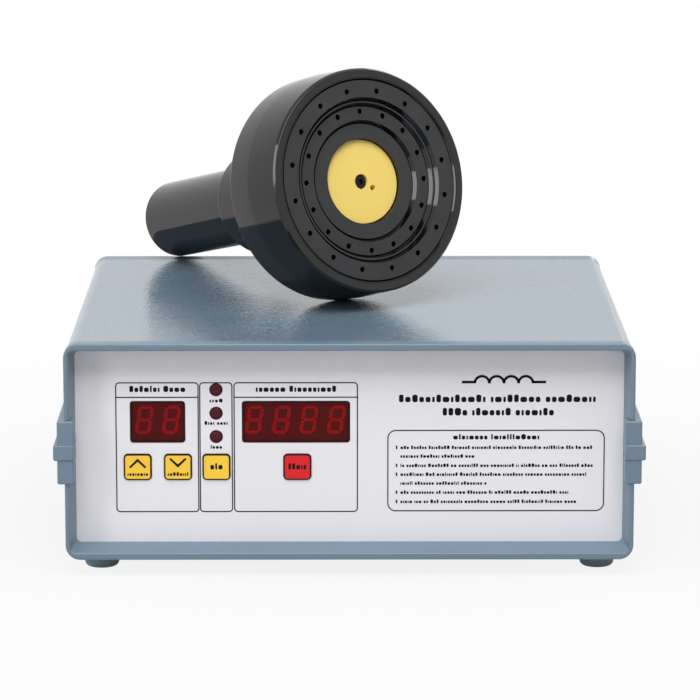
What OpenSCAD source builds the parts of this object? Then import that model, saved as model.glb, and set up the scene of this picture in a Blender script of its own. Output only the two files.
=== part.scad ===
// Bench induction cap sealer: an instrument case with a keypad, and a sealing head that rests on its top.
// Millimetres, +Z up, front towards -Y. The origin is the middle of the object's footprint, on the table.

/* [Case] */
// Width across the bezels
case_w = 280; // [270:1:320]
// Depth from the front bezel's face to the rear bezel's face
case_d = 260; // [250:1:310]
// Height of the case without its feet
case_h = 108.5; // [105:0.5:140]
// Outside corner radius of the bezels
corner_r = 7.2; // [5:0.1:12]
// Wall of the two cover shells
cover_t = 2; // [1.6:0.1:2.2]
// Step from the bezels down to the covers
cover_inset = 0.6; // [0.3:0.1:0.8]
// Depth of the smooth band that each bezel shows outside
bezel_band = 8; // [6:0.5:11]
// Front rim of a bezel along its top and bottom
rim_h = 3.6; // [3:0.1:5]
// Front rim of a bezel along its sides
rim_w = 2.3; // [1.6:0.1:2.4]
// Depth of the panels behind the bezels' faces
recess = 14; // [12.5:0.5:18]
// How far the recess walls lean inward over that depth
draft = 2.4; // [1:0.1:3]
// Thickness of the front and rear panels
panel_t = 2; // [1.5:0.1:3]
// Gap left around pieces that slip together
fit = 0.2; // [0.1:0.05:0.3]

/* [Side rails] */
// Height of a side rail
rail_h = 31.7; // [28:0.1:36]
// How far a rail stands out from the bezel
rail_out = 3.5; // [2.6:0.1:5]
// How far a rail's end blocks reach inside the bezel's side
rail_in = 4.7; // [4:0.1:8]
// How far the end blocks stand proud of the bezels
rail_proud = 1.2; // [0.5:0.1:2]
// Height of the rib along a rail
rib_h = 7.8; // [5:0.1:10]
// How far the rib stands out of the rail
rib_out = 1.9; // [1:0.1:3]
// How far the rib stands proud of the end blocks
rib_proud = 0.7; // [0.3:0.1:1.5]
// Thickness of the web that fills the seam between the covers
web_t = 3; // [2:0.1:5]

/* [Feet] */
// Height of the feet under the bezels
foot_h = 8.5; // [7:0.1:14]
// Radius of a foot
foot_r = 9.5; // [8.5:0.1:12]
// Distance of a foot's centre from the case's side
foot_side = 16.5; // [14:0.1:30]
// Distance of a foot's centre from the case's front or rear
foot_end = 25; // [21:0.5:40]

/* [Keypad] */
// Middle of the time window, from the case's middle
time_x = -94.7; // [-96:0.1:-92]
// Width of the time window
time_w = 27; // [22:0.5:28]
// Middle of the output window, from the case's middle
output_x = -26.4; // [-28:0.1:10]
// Width of the output window
output_w = 53.1; // [40:0.1:54]
// Middle height of both windows, from the case's underside
window_z = 66.7; // [65:0.1:72]
// Height of both windows
window_h = 20.8; // [16:0.1:21]
// Corner radius of the windows
window_r = 1.5; // [0.5:0.1:3]
// Middle of the indicator lamps, from the case's middle
lamp_x = -65.8; // [-67:0.1:-64]
// Height of the lowest lamp
lamp_z = 59.3; // [59:0.1:62]
// Distance between the lamps
lamp_pitch = 11.8; // [9:0.1:13]
// Radius of a lamp
lamp_r = 2.9; // [2:0.1:3.2]
// Middle of the increase key
increase_x = -104.7; // [-106:0.1:-103]
// Middle of the decrease key
decrease_x = -84.8; // [-86:0.1:-84]
// Middle of the set key
set_x = -65.8; // [-66:0.1:-64]
// Middle of the start key
start_x = -25.8; // [-40:0.1:0]
// Middle height of the keys
key_z = 44; // [40:0.1:45]
// Width of a key
key_w = 13.5; // [11:0.1:14]
// Height of a key
key_h = 12.9; // [10:0.1:13.5]
// Corner radius of a key
key_r = 2; // [1:0.1:3]
// How far a key stands proud of the panel
key_proud = 0.9; // [0.8:0.1:2]
// Travel of a key
key_travel = 0.6; // [0.3:0.1:0.8]
// Gap around a key in its hole
key_gap = 0.3; // [0.2:0.05:0.4]

/* [Rear panel] */
// Side of the square fan
fan_w = 60; // [50:1:70]
// Depth of the fan
fan_t = 15; // [14:0.5:20]
// Distance of the fan's middle from the case's left side, seen from behind
fan_side = 70; // [60:1:80]
// Distance of the mains inlet's middle from the case's right side, seen from behind
inlet_side = 60; // [40:1:70]
// Height of the mains inlet
inlet_z = 36; // [32:1:40]
// Distance of the power switch's middle from the case's right side, seen from behind
switch_side = 60; // [40:1:70]
// Height of the power switch and the fuse
switch_z = 74; // [70:1:80]
// Distance of the fuse holder's middle from the case's right side, seen from behind
fuse_side = 98; // [90:1:102]
// Middle of the head cable's gland, seen from behind
gland_x = 14; // [0:1:16]
// Height of the gland
gland_z = 36; // [34:1:60]
// Radius of the cable that the glands take
cable_r = 4.5; // [3:0.1:5]

/* [Sealing head] */
// Turn of the head from straight ahead, towards the right
head_yaw = 33.2; // [20:0.1:40]
// Middle of the head's face, from the case's middle
head_x = 11.1; // [-10:0.1:20]
// Middle of the head's face, in front of the rear bezel's face
head_back = 156.8; // [156.5:0.1:180]
// Radius of the cup at its front rim
rim_r = 57.7; // [56:0.1:58.2]
// Radius of the cup at its crease
crease_r = 58.6; // [57.5:0.1:62]
// Radius of the cup at its rear edge
rear_r = 58.2; // [57:0.1:62]
// Distance of the crease behind the rim
crease_s = 24.5; // [20:0.1:28]
// Length of the cup's side
cup_len = 42.8; // [41:0.1:50]
// Radius of the cup's flat back
back_r = 33; // [31:0.1:40]
// Length of the cup with its sloping back
back_s = 50; // [48:0.5:56]
// Radius of the neck collar
neck_r = 28.2; // [26:0.1:31]
// Distance of the neck's end behind the rim
neck_s = 107; // [98:0.1:115]
// Radius of the handle
handle_r = 20.7; // [18:0.1:22]
// Length of the whole head
head_len = 198.3; // [190:0.1:205]
// Rounding of the head's outer edges
edge_r = 1.6; // [0.8:0.1:2]
// Wall of the handle tube
handle_wall = 3.5; // [2.5:0.1:4.5]

/* [Sealing face] */
// Radius of the face plate in the cup's rim
plate_r = 53; // [52.5:0.1:54]
// Inner radius of the outer ring of holes
ring_1_r = 42.6; // [42:0.1:44]
// Inner radius of the narrow step
ring_2_r = 40; // [39:0.1:41]
// Inner radius of the middle ring of holes
ring_3_r = 31.3; // [30:0.1:33]
// Radius of the pocket for the centre disc
pocket_r = 22; // [20:0.1:24]
// Depth of the outer ring under the rim
ring_1_s = 0.8; // [0.5:0.1:1.5]
// Depth that each inner ring steps down
step_s = 1.8; // [1.2:0.1:2]
// Depth of the centre disc's front under the rim
disc_s = 8.6; // [8.2:0.1:9]
// Thickness of the centre disc
disc_t = 4; // [3:0.1:4.5]
// Number of holes in each ring
hole_count = 16; // [8:1:20]
// Radius of a ring hole
hole_r = 1.1; // [0.8:0.1:1.4]
// Radius of the outer circle of holes
outer_holes_r = 46.4; // [45.5:0.1:48]
// Radius of the middle circle of holes
middle_holes_r = 35.8; // [34.5:0.1:37]

/* [Hidden] */
$fn = 96;

// Colours of the finishes
case_blue = [0.45, 0.54, 0.60];
panel_white = [0.88, 0.88, 0.90];
key_yellow = [0.98, 0.78, 0.17];
key_red = [0.87, 0.15, 0.17];
filter_red = [0.30, 0.05, 0.06];
head_black = [0.07, 0.07, 0.08];
disc_yellow = [0.95, 0.83, 0.44];
steel = [0.75, 0.76, 0.78];
board_green = [0.10, 0.36, 0.20];
part_black = [0.12, 0.12, 0.13];
aluminium = [0.70, 0.71, 0.73];
copper = [0.72, 0.43, 0.20];
rubber_grey = [0.24, 0.26, 0.25];

eps = 0.5;
mid_z = case_h / 2;
cover_x = case_w / 2 - cover_inset;
spigot_inset = cover_inset + cover_t + fit;
floor_z = cover_inset + cover_t;
rear_y = case_d - recess;
fan_x = fan_side - case_w / 2;
inlet_x = case_w / 2 - inlet_side;
switch_x = case_w / 2 - switch_side;
fuse_x = case_w / 2 - fuse_side;

// Screws
m3_r = 1.5;
m3_head_r = 2.75;
m3_head_t = 1.8;
screw_gap = 0.1;

// Rail fastening
rail_screw_dz = 10;
rail_screw_y = [case_d * 0.2, case_d * 0.8];
rail_screw_seat = 1.6;
rail_screw_len = rail_out + cover_inset - rail_screw_seat - m3_head_t + cover_t + 2;

// Panel stops inside the covers
stop_h = 3;
stop_t = 2;
stop_margin = 30;

// Foot fastening
foot_bore_depth = 4.4;
foot_wall = 4;
boss_r = 4;
boss_h = 6;
foot_screw_len = foot_h - foot_bore_depth + cover_inset + cover_t + boss_h - 1;

// Air slots under the case
slot_w = 3;
slot_len = 40;
slot_count = 12;
slot_pitch = 9;
slot_y = 30;

// Keypad stack, measured behind the panel's front face
window_lap = 2;
window_flange = 1.2;
display_t = 8;
display_side = 1;
display_gap = 0.1;
board_s = panel_t + window_flange + display_gap + display_t;
board_t = 1.6;
board_margin = 11;
board_left = time_x - time_w / 2 - board_margin;
board_right = output_x + output_w / 2 + board_margin;
board_low = key_z - key_h / 2 - board_margin;
board_high = lamp_z + 2 * lamp_pitch + board_margin;
spacer_r = 3;
spacer_in = 5;
key_lap = 1.2;
key_flange = 1;
flange_gap = 0.1;
switch_w = 7;
switch_t = 5;
stem_r = 1.7;
stem_bore_r = stem_r + 0.3;
stem_reach = 2;
lamp_collar = 0.7;
lamp_dome = 0.8;
lamp_hole_gap = 0.1;

// Fan
fan_bore_gap = 4;
fan_bore_r = fan_w / 2 - fan_bore_gap / 2;
fan_hole_in = 5;
fan_hole_r = 2;
fan_strut_t = 3;
fan_strut_w = 4;
fan_hub_r = 12;
fan_tip_gap = 1.5;
fan_blades = 7;
fan_blade_t = 1.4;
fan_blade_pitch = 42;
shaft_r = 1.5;
shaft_gap = 0.05;
boss_out_r = 3;
rotor_gap = 0.6;
guard_wire_r = 1;
guard_rings = [10, 18, 26];
guard_tab_r = 4;
guard_tab_t = 1.4;

// Mains inlet
inlet_w = 27;
inlet_h = 20;
inlet_flange_w = 50;
inlet_flange_h = 23;
inlet_flange_t = 2.6;
inlet_wall = 1.6;
inlet_depth = 20;
inlet_floor = 3;
inlet_screw_x = 20;
inlet_chamfer = 5;
pin_w = 4;
pin_t = 2;
pin_len = 14;
pin_dx = 7;
pin_dy = 2.2;

// Power switch
switch_out_w = 14;
switch_out_h = 21;
switch_lap = 1.8;
switch_flange_t = 1.6;
switch_wall = 1.1;
switch_depth = 14;
rocker_half = 8;
rocker_tilt = 12;
rocker_back = 1.5;
rocker_front = 2.4;
rocker_side_gap = 0.35;
rocker_pin_r = 1;

// Fuse
fuse_r = 6.2;
fuse_flange_r = 8.5;
fuse_flange_t = 2;
fuse_wall = 1;
fuse_depth = 26;
fuse_cap_r = 7.4;
fuse_cap_t = 5;
fuse_gap = 0.3;
fuse_slot_w = 1.6;
fuse_slot_d = 1.5;

// Cable gland
gland_wall = 3.3;
gland_hex_wall = 4.6;
gland_dome_wall = 1.5;
gland_thread_r = cable_r + gland_wall;
gland_hex_r = gland_thread_r + gland_hex_wall;
gland_hex_t = 6;
gland_dome_t = 7;
gland_thread_len = 9;
gland_nut_t = 4;

// Power electronics
power_w = 180;
power_l = 120;
power_x = 20;
power_dy = 10;
power_y = case_d / 2 + power_dy;
standoff_h = 8;
standoff_r = 3.5;
standoff_in = 6;
power_z = floor_z + standoff_h;
power_top = power_z + board_t;
sink_w = 60;
sink_l = 90;
sink_base = 6;
sink_h = 36;
sink_fins = 8;
sink_fin_t = 2;
sink_dx = 45;
sink_x = power_x + sink_dx;
transistor_w = 16;
transistor_t = 5;
transistor_h = 20;
transistor_count = 4;
transistor_pitch = 21;
lead_len = 4;
lead_w = 1;
lead_t = 0.8;
cap_r = 11;
cap_h = 34;
cap_pitch = 26;
cap_dx = 25;
cap_x = power_x - cap_dx;
rectifier_w = 28;
rectifier_h = 10;
rectifier_in = 6;
rectifier_bore_r = 2.2;
core_w = 42;
core_l = 54;
core_h = 44;
core_leg = 11;
core_dx = 65;
core_dy = 12;
core_x = power_x - core_dx;
winding_wall = 4;

// Head: rests with the cup's rear edge on the top cover and the handle's end on the rear bezel
rest_gap = 0.1;
head_y = case_d - head_back;
rest_a = rear_r - handle_r;
rest_b = head_len - cup_len;
head_pitch = acos(cover_inset / norm([rest_a, rest_b])) - atan2(rest_b, rest_a);
head_rise = (rear_r - edge_r) * cos(head_pitch) + (cup_len - edge_r) * sin(head_pitch) + edge_r + rest_gap;
head_z = foot_h + case_h - cover_inset + head_rise;
axis_y = -cos(head_yaw) * cos(head_pitch);
plate_back_s = 16;
seat_lip = 4;
cavity_s = 40;
lead_r = 10;
rim_bevel = 1;
disc_gap = 0.3;
disc_hole_r = 3.8;
disc_small_r = 1.5;
disc_small_at = 7.6;
disc_small_turn = -30;
outer_holes_turn = 98.5;
middle_holes_turn = 109.7;
hole_depth = 6;
coil_in_r = 22;
coil_t = 6;
former_t = 3;
ferrite_t = 7;
stack_r = plate_r - seat_lip - 1;
stem_screw_r = 2;
stem_head_r = 3.3;
stem_head_t = 3;
stem_socket = 1.6;
handle_in_s = 75;
neck_screw_at = 20;
neck_screw_len = 16;
neck_screw_count = 4;
plug_t = 11;
plug_sunk = 1;
grommet_out = 1.5;
grommet_wall = 2.4;
grommet_lip = 1.6;

// Reach of the whole object from the front bezel's face, which puts the origin in its middle
front_reach = rail_proud + rib_proud;
end_reach = head_y - (head_len - edge_r) * axis_y + (handle_r - edge_r) * sqrt(1 - axis_y * axis_y) + edge_r;
back_reach = max(case_d + front_reach, end_reach);
case_front_y = -(back_reach - front_reach) / 2;

module in_case() {
    translate([0, case_front_y, foot_h])
        children();
}

// Frame on the front panel's face, x right, y up, z out of the panel
module at_front(x, z) {
    in_case()
        translate([x, recess, z])
            rotate([90, 0, 0])
                children();
}

// Frame on the rear panel's outer face, seen from behind: x right, y up, z out of the panel
module at_rear(x, z) {
    in_case()
        translate([-x, rear_y, z])
            rotate([90, 0, 180])
                children();
}

// Frame of the sealing head, z out of its face along its axis
module in_head() {
    translate([head_x, case_front_y + head_y, head_z])
        rotate([90 - head_pitch, 0, head_yaw])
            children();
}

module rounded(w, h, r) {
    square([w - 2 * r, h], center = true);
    square([w, h - 2 * r], center = true);
    for (sx = [-1, 1], sy = [-1, 1])
        translate([sx * (w / 2 - r), sy * (h / 2 - r)])
            circle(r);
}

// Cross-section of the case, shrunk all round
module case_section(inset) {
    translate([0, mid_z])
        rounded(case_w - 2 * inset, case_h - 2 * inset, max(corner_r - inset, 1));
}

// Carries a section drawn in x and z along the case's depth
module along_depth(y, length) {
    translate([0, y + length, 0])
        rotate([90, 0, 0])
            linear_extrude(length)
                children();
}

// Slab of a section, from z = low to z = high
module slab(low, high) {
    translate([0, 0, low])
        linear_extrude(high - low)
            children();
}

// Pan-head screw, head above z = 0 and shank below
module screw(shank_r, shank_len, head_r, head_t) {
    union() {
        translate([0, 0, -shank_len])
            cylinder(h = shank_len + head_t / 2, r = shank_r);
        difference() {
            cylinder(h = head_t, r = head_r);
            for (turn = [0, 90])
                rotate([0, 0, turn])
                    translate([-head_r * 0.6, -head_r * 0.12, head_t * 0.5])
                        cube([head_r * 1.2, head_r * 0.24, head_t]);
        }
    }
}

module m3_screw(shank_len) {
    screw(m3_r - screw_gap, shank_len, m3_head_r, m3_head_t);
}

// Hole for a screw of the shank radius, through z = low to z = high
module screw_hole(shank_r, low, high) {
    translate([0, 0, low])
        cylinder(h = high - low, r = shank_r + screw_gap);
}

module corners(dx, dy) {
    for (sx = [-1, 1], sy = [-1, 1])
        translate([sx * dx, sy * dy, 0])
            children();
}

// Places for the rail screws on the right-hand rail, z pointing out of the rail
module rail_screw_places() {
    for (y = rail_screw_y, sz = [-1, 1])
        translate([case_w / 2 + rail_out, y, mid_z + sz * rail_screw_dz])
            rotate([0, 90, 0])
                children();
}

module both_rails_screws() {
    rail_screw_places()
        children();
    mirror([1, 0, 0])
        rail_screw_places()
            children();
}

module foot_places() {
    for (sx = [-1, 1], y = [foot_end, case_d - foot_end])
        translate([sx * (case_w / 2 - foot_side), y, 0])
            children();
}

module power_corners() {
    translate([power_x, power_y, 0])
        corners(power_w / 2 - standoff_in, power_l / 2 - standoff_in)
            children();
}

module shell_band() {
    along_depth(bezel_band, case_d - 2 * bezel_band)
        difference() {
            case_section(cover_inset);
            case_section(cover_inset + cover_t);
            children();
        }
}

// Bars inside a cover that hold both panels against the bezels, rooted in the cover's wall
module panel_stops(low) {
    for (y = [recess + panel_t, rear_y - panel_t - stop_t])
        translate([-(case_w / 2 - stop_margin), y, low])
            cube([case_w - 2 * stop_margin, stop_t, stop_h + cover_t / 2]);
}

module top_cover() {
    color(case_blue) in_case() difference() {
        union() {
            shell_band()
                translate([-case_w, -case_h])
                    square([2 * case_w, case_h + mid_z + web_t / 2]);
            panel_stops(case_h - cover_inset - cover_t - stop_h);
        }
        both_rails_screws()
            screw_hole(m3_r - screw_gap, -rail_screw_len - rail_out, eps);
    }
}

module bottom_cover() {
    color(case_blue) in_case() difference() {
        union() {
            shell_band()
                translate([-case_w, mid_z - web_t / 2])
                    square([2 * case_w, 2 * case_h]);
            panel_stops(floor_z - cover_t / 2);
            foot_places()
                translate([0, 0, cover_inset + cover_t / 2])
                    cylinder(h = cover_t / 2 + boss_h, r = boss_r);
        }
        both_rails_screws()
            screw_hole(m3_r - screw_gap, -rail_screw_len - rail_out, eps);
        foot_places()
            screw_hole(m3_r, -eps, floor_z + boss_h - eps);
        for (i = [0 : slot_count - 1])
            translate([(i - (slot_count - 1) / 2) * slot_pitch - slot_w / 2, slot_y, -eps])
                cube([slot_w, slot_len, floor_z + 2 * eps]);
    }
}

// Open space of a bezel: walls that lean inward to the panel
module recess_space() {
    far = recess + eps;
    near_lean = -draft * eps / recess;
    far_lean = draft * far / recess;
    half_w = case_w / 2 - rim_w;
    half_h = case_h / 2 - rim_h;
    intersection() {
        translate([0, 0, -eps])
            linear_extrude(case_h + 2 * eps)
                polygon([
                    [-half_w + near_lean, -eps], [half_w - near_lean, -eps],
                    [half_w - far_lean, far], [-half_w + far_lean, far]
                ]);
        translate([-case_w, 0, mid_z])
            rotate([90, 0, 90])
                linear_extrude(2 * case_w)
                    polygon([
                        [-eps, -half_h + near_lean], [-eps, half_h - near_lean],
                        [far, half_h - far_lean], [far, -half_h + far_lean]
                    ]);
    }
}

module bezel_ring() {
    notch_h = rail_h + 2 * fit;
    difference() {
        union() {
            along_depth(0, bezel_band)
                case_section(0);
            along_depth(bezel_band - eps, recess - bezel_band + eps)
                case_section(spigot_inset);
        }
        recess_space();
        for (sx = [-1, 1])
            translate([sx * case_w / 2, bezel_band / 2 - eps, mid_z])
                cube([2 * (rail_in + fit), bezel_band + 2 * eps, notch_h], center = true);
    }
}

module front_bezel() {
    color(case_blue) in_case()
        bezel_ring();
}

module rear_bezel() {
    color(case_blue) in_case()
        translate([0, case_d, 0])
            mirror([0, 1, 0])
                bezel_ring();
}

// End block of a rail over the front bezel's rim, with the rib's end across it
module rail_end() {
    block_w = rail_in + rail_out;
    translate([case_w / 2 - rail_in, -rail_proud, mid_z - rail_h / 2])
        cube([block_w, rail_proud + bezel_band - fit, rail_h]);
    translate([case_w / 2 - rail_in, -front_reach, mid_z - rib_h / 2])
        cube([block_w + rib_out, front_reach, rib_h]);
}

module rail_right() {
    difference() {
        union() {
            translate([cover_x, 0, mid_z - rail_h / 2])
                cube([cover_inset + rail_out, case_d, rail_h]);
            translate([case_w / 2, -front_reach, mid_z - rib_h / 2])
                cube([rail_out + rib_out, case_d + 2 * front_reach, rib_h]);
            translate([cover_x - cover_t, bezel_band + fit, mid_z - web_t / 2])
                cube([cover_t + eps, case_d - 2 * (bezel_band + fit), web_t]);
            rail_end();
            translate([0, case_d, 0])
                mirror([0, 1, 0])
                    rail_end();
        }
        rail_screw_places() {
            screw_hole(m3_r - screw_gap, -rail_screw_len - rail_out, eps);
            translate([0, 0, -rail_screw_seat - m3_head_t])
                cylinder(h = rail_screw_seat + m3_head_t + rib_out, r = m3_head_r + fit);
        }
    }
}

module side_rail_right() {
    color(case_blue) in_case()
        rail_right();
}

module side_rail_left() {
    color(case_blue) in_case()
        mirror([1, 0, 0])
            rail_right();
}

module rail_screws() {
    color(steel) in_case()
        both_rails_screws()
            translate([0, 0, -rail_screw_seat - m3_head_t])
                m3_screw(rail_screw_len);
}

module feet() {
    bore_r = m3_head_r + 3 * fit;
    low_r = foot_r - 1;
    round_r = min(3, (low_r - bore_r) / 2 - fit);
    color(rubber_grey) in_case()
        foot_places()
            rotate_extrude() {
                polygon([
                    [m3_r + fit, cover_inset], [foot_r, cover_inset], [foot_r, -foot_h * 0.3],
                    [low_r, round_r - foot_h], [low_r - round_r, -foot_h], [bore_r, -foot_h],
                    [bore_r, foot_bore_depth - foot_h], [m3_r + fit, foot_bore_depth - foot_h]
                ]);
                translate([low_r - round_r, round_r - foot_h])
                    circle(round_r);
            }
}

module foot_screws() {
    color(steel) in_case()
        foot_places()
            translate([0, 0, foot_bore_depth - foot_h])
                mirror([0, 0, 1])
                    m3_screw(foot_screw_len);
}

module key_shape(grow) {
    rounded(key_w + 2 * grow, key_h + 2 * grow, key_r + grow);
}

module window_shape(w, grow) {
    rounded(w + 2 * grow, window_h + 2 * grow, window_r + grow);
}

key_xs = [increase_x, decrease_x, set_x, start_x];
lamp_zs = [lamp_z, lamp_z + lamp_pitch, lamp_z + 2 * lamp_pitch];

module front_panel() {
    color(panel_white) difference() {
        in_case()
            along_depth(recess, panel_t)
                case_section(spigot_inset);
        at_front(time_x, window_z)
            slab(-panel_t - eps, eps)
                window_shape(time_w, fit);
        at_front(output_x, window_z)
            slab(-panel_t - eps, eps)
                window_shape(output_w, fit);
        for (x = key_xs)
            at_front(x, key_z)
                slab(-panel_t - eps, eps)
                    key_shape(key_gap);
        for (z = lamp_zs)
            at_front(lamp_x, z)
                slab(-panel_t - eps, eps)
                    circle(lamp_r + lamp_hole_gap);
    }
}

// Filter window: a pane in its hole with a flange behind the panel
module window(x, w) {
    color(filter_red) at_front(x, window_z) {
        slab(-panel_t - window_flange / 2, 0)
            window_shape(w, 0);
        slab(-panel_t - window_flange, -panel_t)
            window_shape(w, window_lap);
    }
}

module time_window() {
    window(time_x, time_w);
}

module output_window() {
    window(output_x, output_w);
}

// Digit module on the control board, behind its window
module display(x, w) {
    color(part_black) at_front(x, window_z)
        slab(-board_s, -board_s + display_t)
            window_shape(w, -display_side);
}

module time_display() {
    display(time_x, time_w);
}

module output_display() {
    display(output_x, output_w);
}

// Lamp with a low dome, a collar behind the panel and a stem to the board
module lamp(z) {
    stem = lamp_r - 0.5;
    dome_r = (lamp_r * lamp_r + lamp_dome * lamp_dome) / (2 * lamp_dome);
    color(filter_red) at_front(lamp_x, z) {
        translate([0, 0, -board_s])
            cylinder(h = board_s - panel_t, r = stem);
        translate([0, 0, -panel_t - 1])
            cylinder(h = 1, r = lamp_r + lamp_collar);
        translate([0, 0, -panel_t - 1])
            cylinder(h = panel_t + 1, r = lamp_r);
        intersection() {
            translate([0, 0, lamp_dome - dome_r])
                sphere(dome_r);
            translate([0, 0, -1])
                cylinder(h = 2 + lamp_dome, r = lamp_r);
        }
    }
}

module lamp_top() {
    lamp(lamp_zs[2]);
}

module lamp_middle() {
    lamp(lamp_zs[1]);
}

module lamp_bottom() {
    lamp(lamp_zs[0]);
}

// Key cap in its hole, with a flange that stops it and a stem into its switch
module key(x, tint) {
    flange_top = -panel_t - flange_gap;
    stem_end = switch_t - board_s - stem_reach;
    color(tint) at_front(x, key_z) {
        slab(flange_top - key_flange / 2, key_proud)
            key_shape(0);
        slab(flange_top - key_flange, flange_top)
            key_shape(key_lap);
        slab(stem_end, flange_top - key_flange / 2)
            circle(stem_r);
    }
}

module increase_key() {
    key(increase_x, key_yellow);
}

module decrease_key() {
    key(decrease_x, key_yellow);
}

module set_key() {
    key(set_x, key_yellow);
}

module start_key() {
    key(start_x, key_red);
}

module key_switches() {
    bore_end = switch_t - board_s - stem_reach - key_travel - 0.5;
    color(part_black)
        for (x = key_xs)
            at_front(x, key_z)
                difference() {
                    slab(-board_s, switch_t - board_s)
                        square(switch_w, center = true);
                    slab(bore_end, switch_t)
                        circle(stem_bore_r);
                }
}

module board_places() {
    for (x = [board_left + spacer_in, board_right - spacer_in])
        for (z = [board_low + spacer_in, board_high - spacer_in])
            at_front(x, z)
                children();
}

module control_board() {
    color(board_green) difference() {
        at_front(0, 0)
            slab(-board_s - board_t, -board_s)
                translate([board_left, board_low])
                    square([board_right - board_left, board_high - board_low]);
        board_places()
            screw_hole(m3_r, -board_s - board_t - eps, -board_s + eps);
    }
}

module board_spacers() {
    color(steel)
        board_places()
            difference() {
                slab(-board_s, -panel_t)
                    circle(spacer_r);
                slab(-board_s - eps, -panel_t - 1)
                    circle(m3_r);
            }
}

module control_screws() {
    shank = board_t + board_s - panel_t - 2;
    color(steel)
        board_places()
            translate([0, 0, -board_s - board_t])
                mirror([0, 0, 1])
                    m3_screw(shank);
}

fan_hole = fan_w / 2 - fan_hole_in;
fan_z = mid_z;

module rear_panel() {
    color(panel_white) difference() {
        in_case()
            along_depth(rear_y - panel_t, panel_t)
                case_section(spigot_inset);
        at_rear(fan_x, fan_z) {
            slab(-panel_t - eps, eps)
                circle(fan_bore_r - 1);
            corners(fan_hole, fan_hole)
                screw_hole(m3_r, -panel_t - eps, eps);
        }
        at_rear(inlet_x, inlet_z) {
            slab(-panel_t - eps, eps)
                square([inlet_w + 2 * fit, inlet_h + 2 * fit], center = true);
            for (sx = [-1, 1])
                translate([sx * inlet_screw_x, 0, 0])
                    screw_hole(m3_r, -panel_t - eps, eps);
        }
        at_rear(switch_x, switch_z)
            slab(-panel_t - eps, eps)
                square([switch_out_w + 2 * fit, switch_out_h + 2 * fit], center = true);
        at_rear(fuse_x, switch_z)
            slab(-panel_t - eps, eps)
                circle(fuse_r + fit);
        at_rear(gland_x, gland_z)
            slab(-panel_t - eps, eps)
                circle(gland_thread_r + fit);
    }
}

// Square fan housing behind the panel: ring, struts and the shaft's bearing at its inner side
module fan_frame() {
    front = -panel_t;
    back = front - fan_t;
    color(part_black) at_rear(fan_x, fan_z)
        difference() {
            union() {
                difference() {
                    slab(back, front)
                        rounded(fan_w, fan_w, fan_hole_in - 1);
                    slab(back - eps, front + eps)
                        circle(fan_bore_r);
                }
                slab(back, back + fan_strut_t) {
                    circle(fan_hub_r);
                    for (turn = [45, 135])
                        rotate(turn)
                            square([2 * fan_bore_r + 2, fan_strut_w], center = true);
                }
                slab(back, back + fan_t / 2)
                    circle(boss_out_r);
            }
            slab(back + 1, front)
                circle(shaft_r + shaft_gap);
            corners(fan_hole, fan_hole)
                slab(back - eps, front + eps)
                    circle(fan_hole_r);
        }
}

// Bladed rotor on its shaft, hollow over the bearing
module fan_rotor() {
    back = -panel_t - fan_t;
    low = back + fan_strut_t + rotor_gap;
    high = -panel_t - rotor_gap;
    bearing_top = back + fan_t / 2 + rotor_gap;
    tip_r = fan_bore_r - fan_tip_gap;
    color(part_black) at_rear(fan_x, fan_z) {
        difference() {
            union() {
                slab(low, high)
                    circle(fan_hub_r);
                intersection() {
                    slab(low, high)
                        circle(tip_r);
                    for (i = [0 : fan_blades - 1])
                        rotate([0, 0, i * 360 / fan_blades])
                            translate([fan_hub_r - 2, 0, (low + high) / 2])
                                rotate([fan_blade_pitch, 0, 0])
                                    translate([0, -fan_w / 2, -fan_blade_t / 2])
                                        cube([tip_r, fan_w, fan_blade_t]);
                }
            }
            slab(low - eps, bearing_top)
                circle(boss_out_r + rotor_gap);
        }
        slab(back + 1 + rotor_gap, bearing_top + eps)
            circle(shaft_r);
    }
}

module wire_ring(r, z) {
    rotate_extrude()
        translate([r, z])
            circle(guard_wire_r);
}

module fan_guard() {
    spoke_start = guard_rings[0] - 2;
    spoke_len = norm([fan_hole, fan_hole]) - spoke_start - 1 - guard_tab_r / 2;
    color(steel) at_rear(fan_x, fan_z)
        difference() {
            union() {
                for (r = guard_rings)
                    wire_ring(r, 2.2 * guard_wire_r);
                for (turn = [45 : 90 : 315])
                    rotate([0, 0, turn])
                        translate([spoke_start, 0, guard_wire_r])
                            rotate([0, 90, 0])
                                cylinder(h = spoke_len, r = guard_wire_r);
                corners(fan_hole, fan_hole)
                    cylinder(h = guard_tab_t, r = guard_tab_r);
            }
            corners(fan_hole, fan_hole)
                screw_hole(m3_r, -eps, 2 * guard_tab_r);
            translate([0, 0, -guard_tab_r])
                cylinder(h = guard_tab_r, r = fan_w);
        }
}

module fan_screws() {
    color(steel) at_rear(fan_x, fan_z)
        corners(fan_hole, fan_hole)
            translate([0, 0, guard_tab_t])
                m3_screw(guard_tab_t + panel_t + fan_t - 1);
}

// Keyed outline of the inlet's socket, with its two upper corners cut off
module inlet_outline(inset) {
    half_w = inlet_w / 2 - inset;
    half_h = inlet_h / 2 - inset;
    polygon([
        [-half_w, -half_h], [half_w, -half_h], [half_w, half_h - inlet_chamfer],
        [half_w - inlet_chamfer, half_h], [inlet_chamfer - half_w, half_h], [-half_w, half_h - inlet_chamfer]
    ]);
}

module inlet_pin_places() {
    for (place = [[-pin_dx, -pin_dy], [pin_dx, -pin_dy], [0, pin_dy]])
        translate([place[0], place[1], -inlet_depth])
            children();
}

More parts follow.
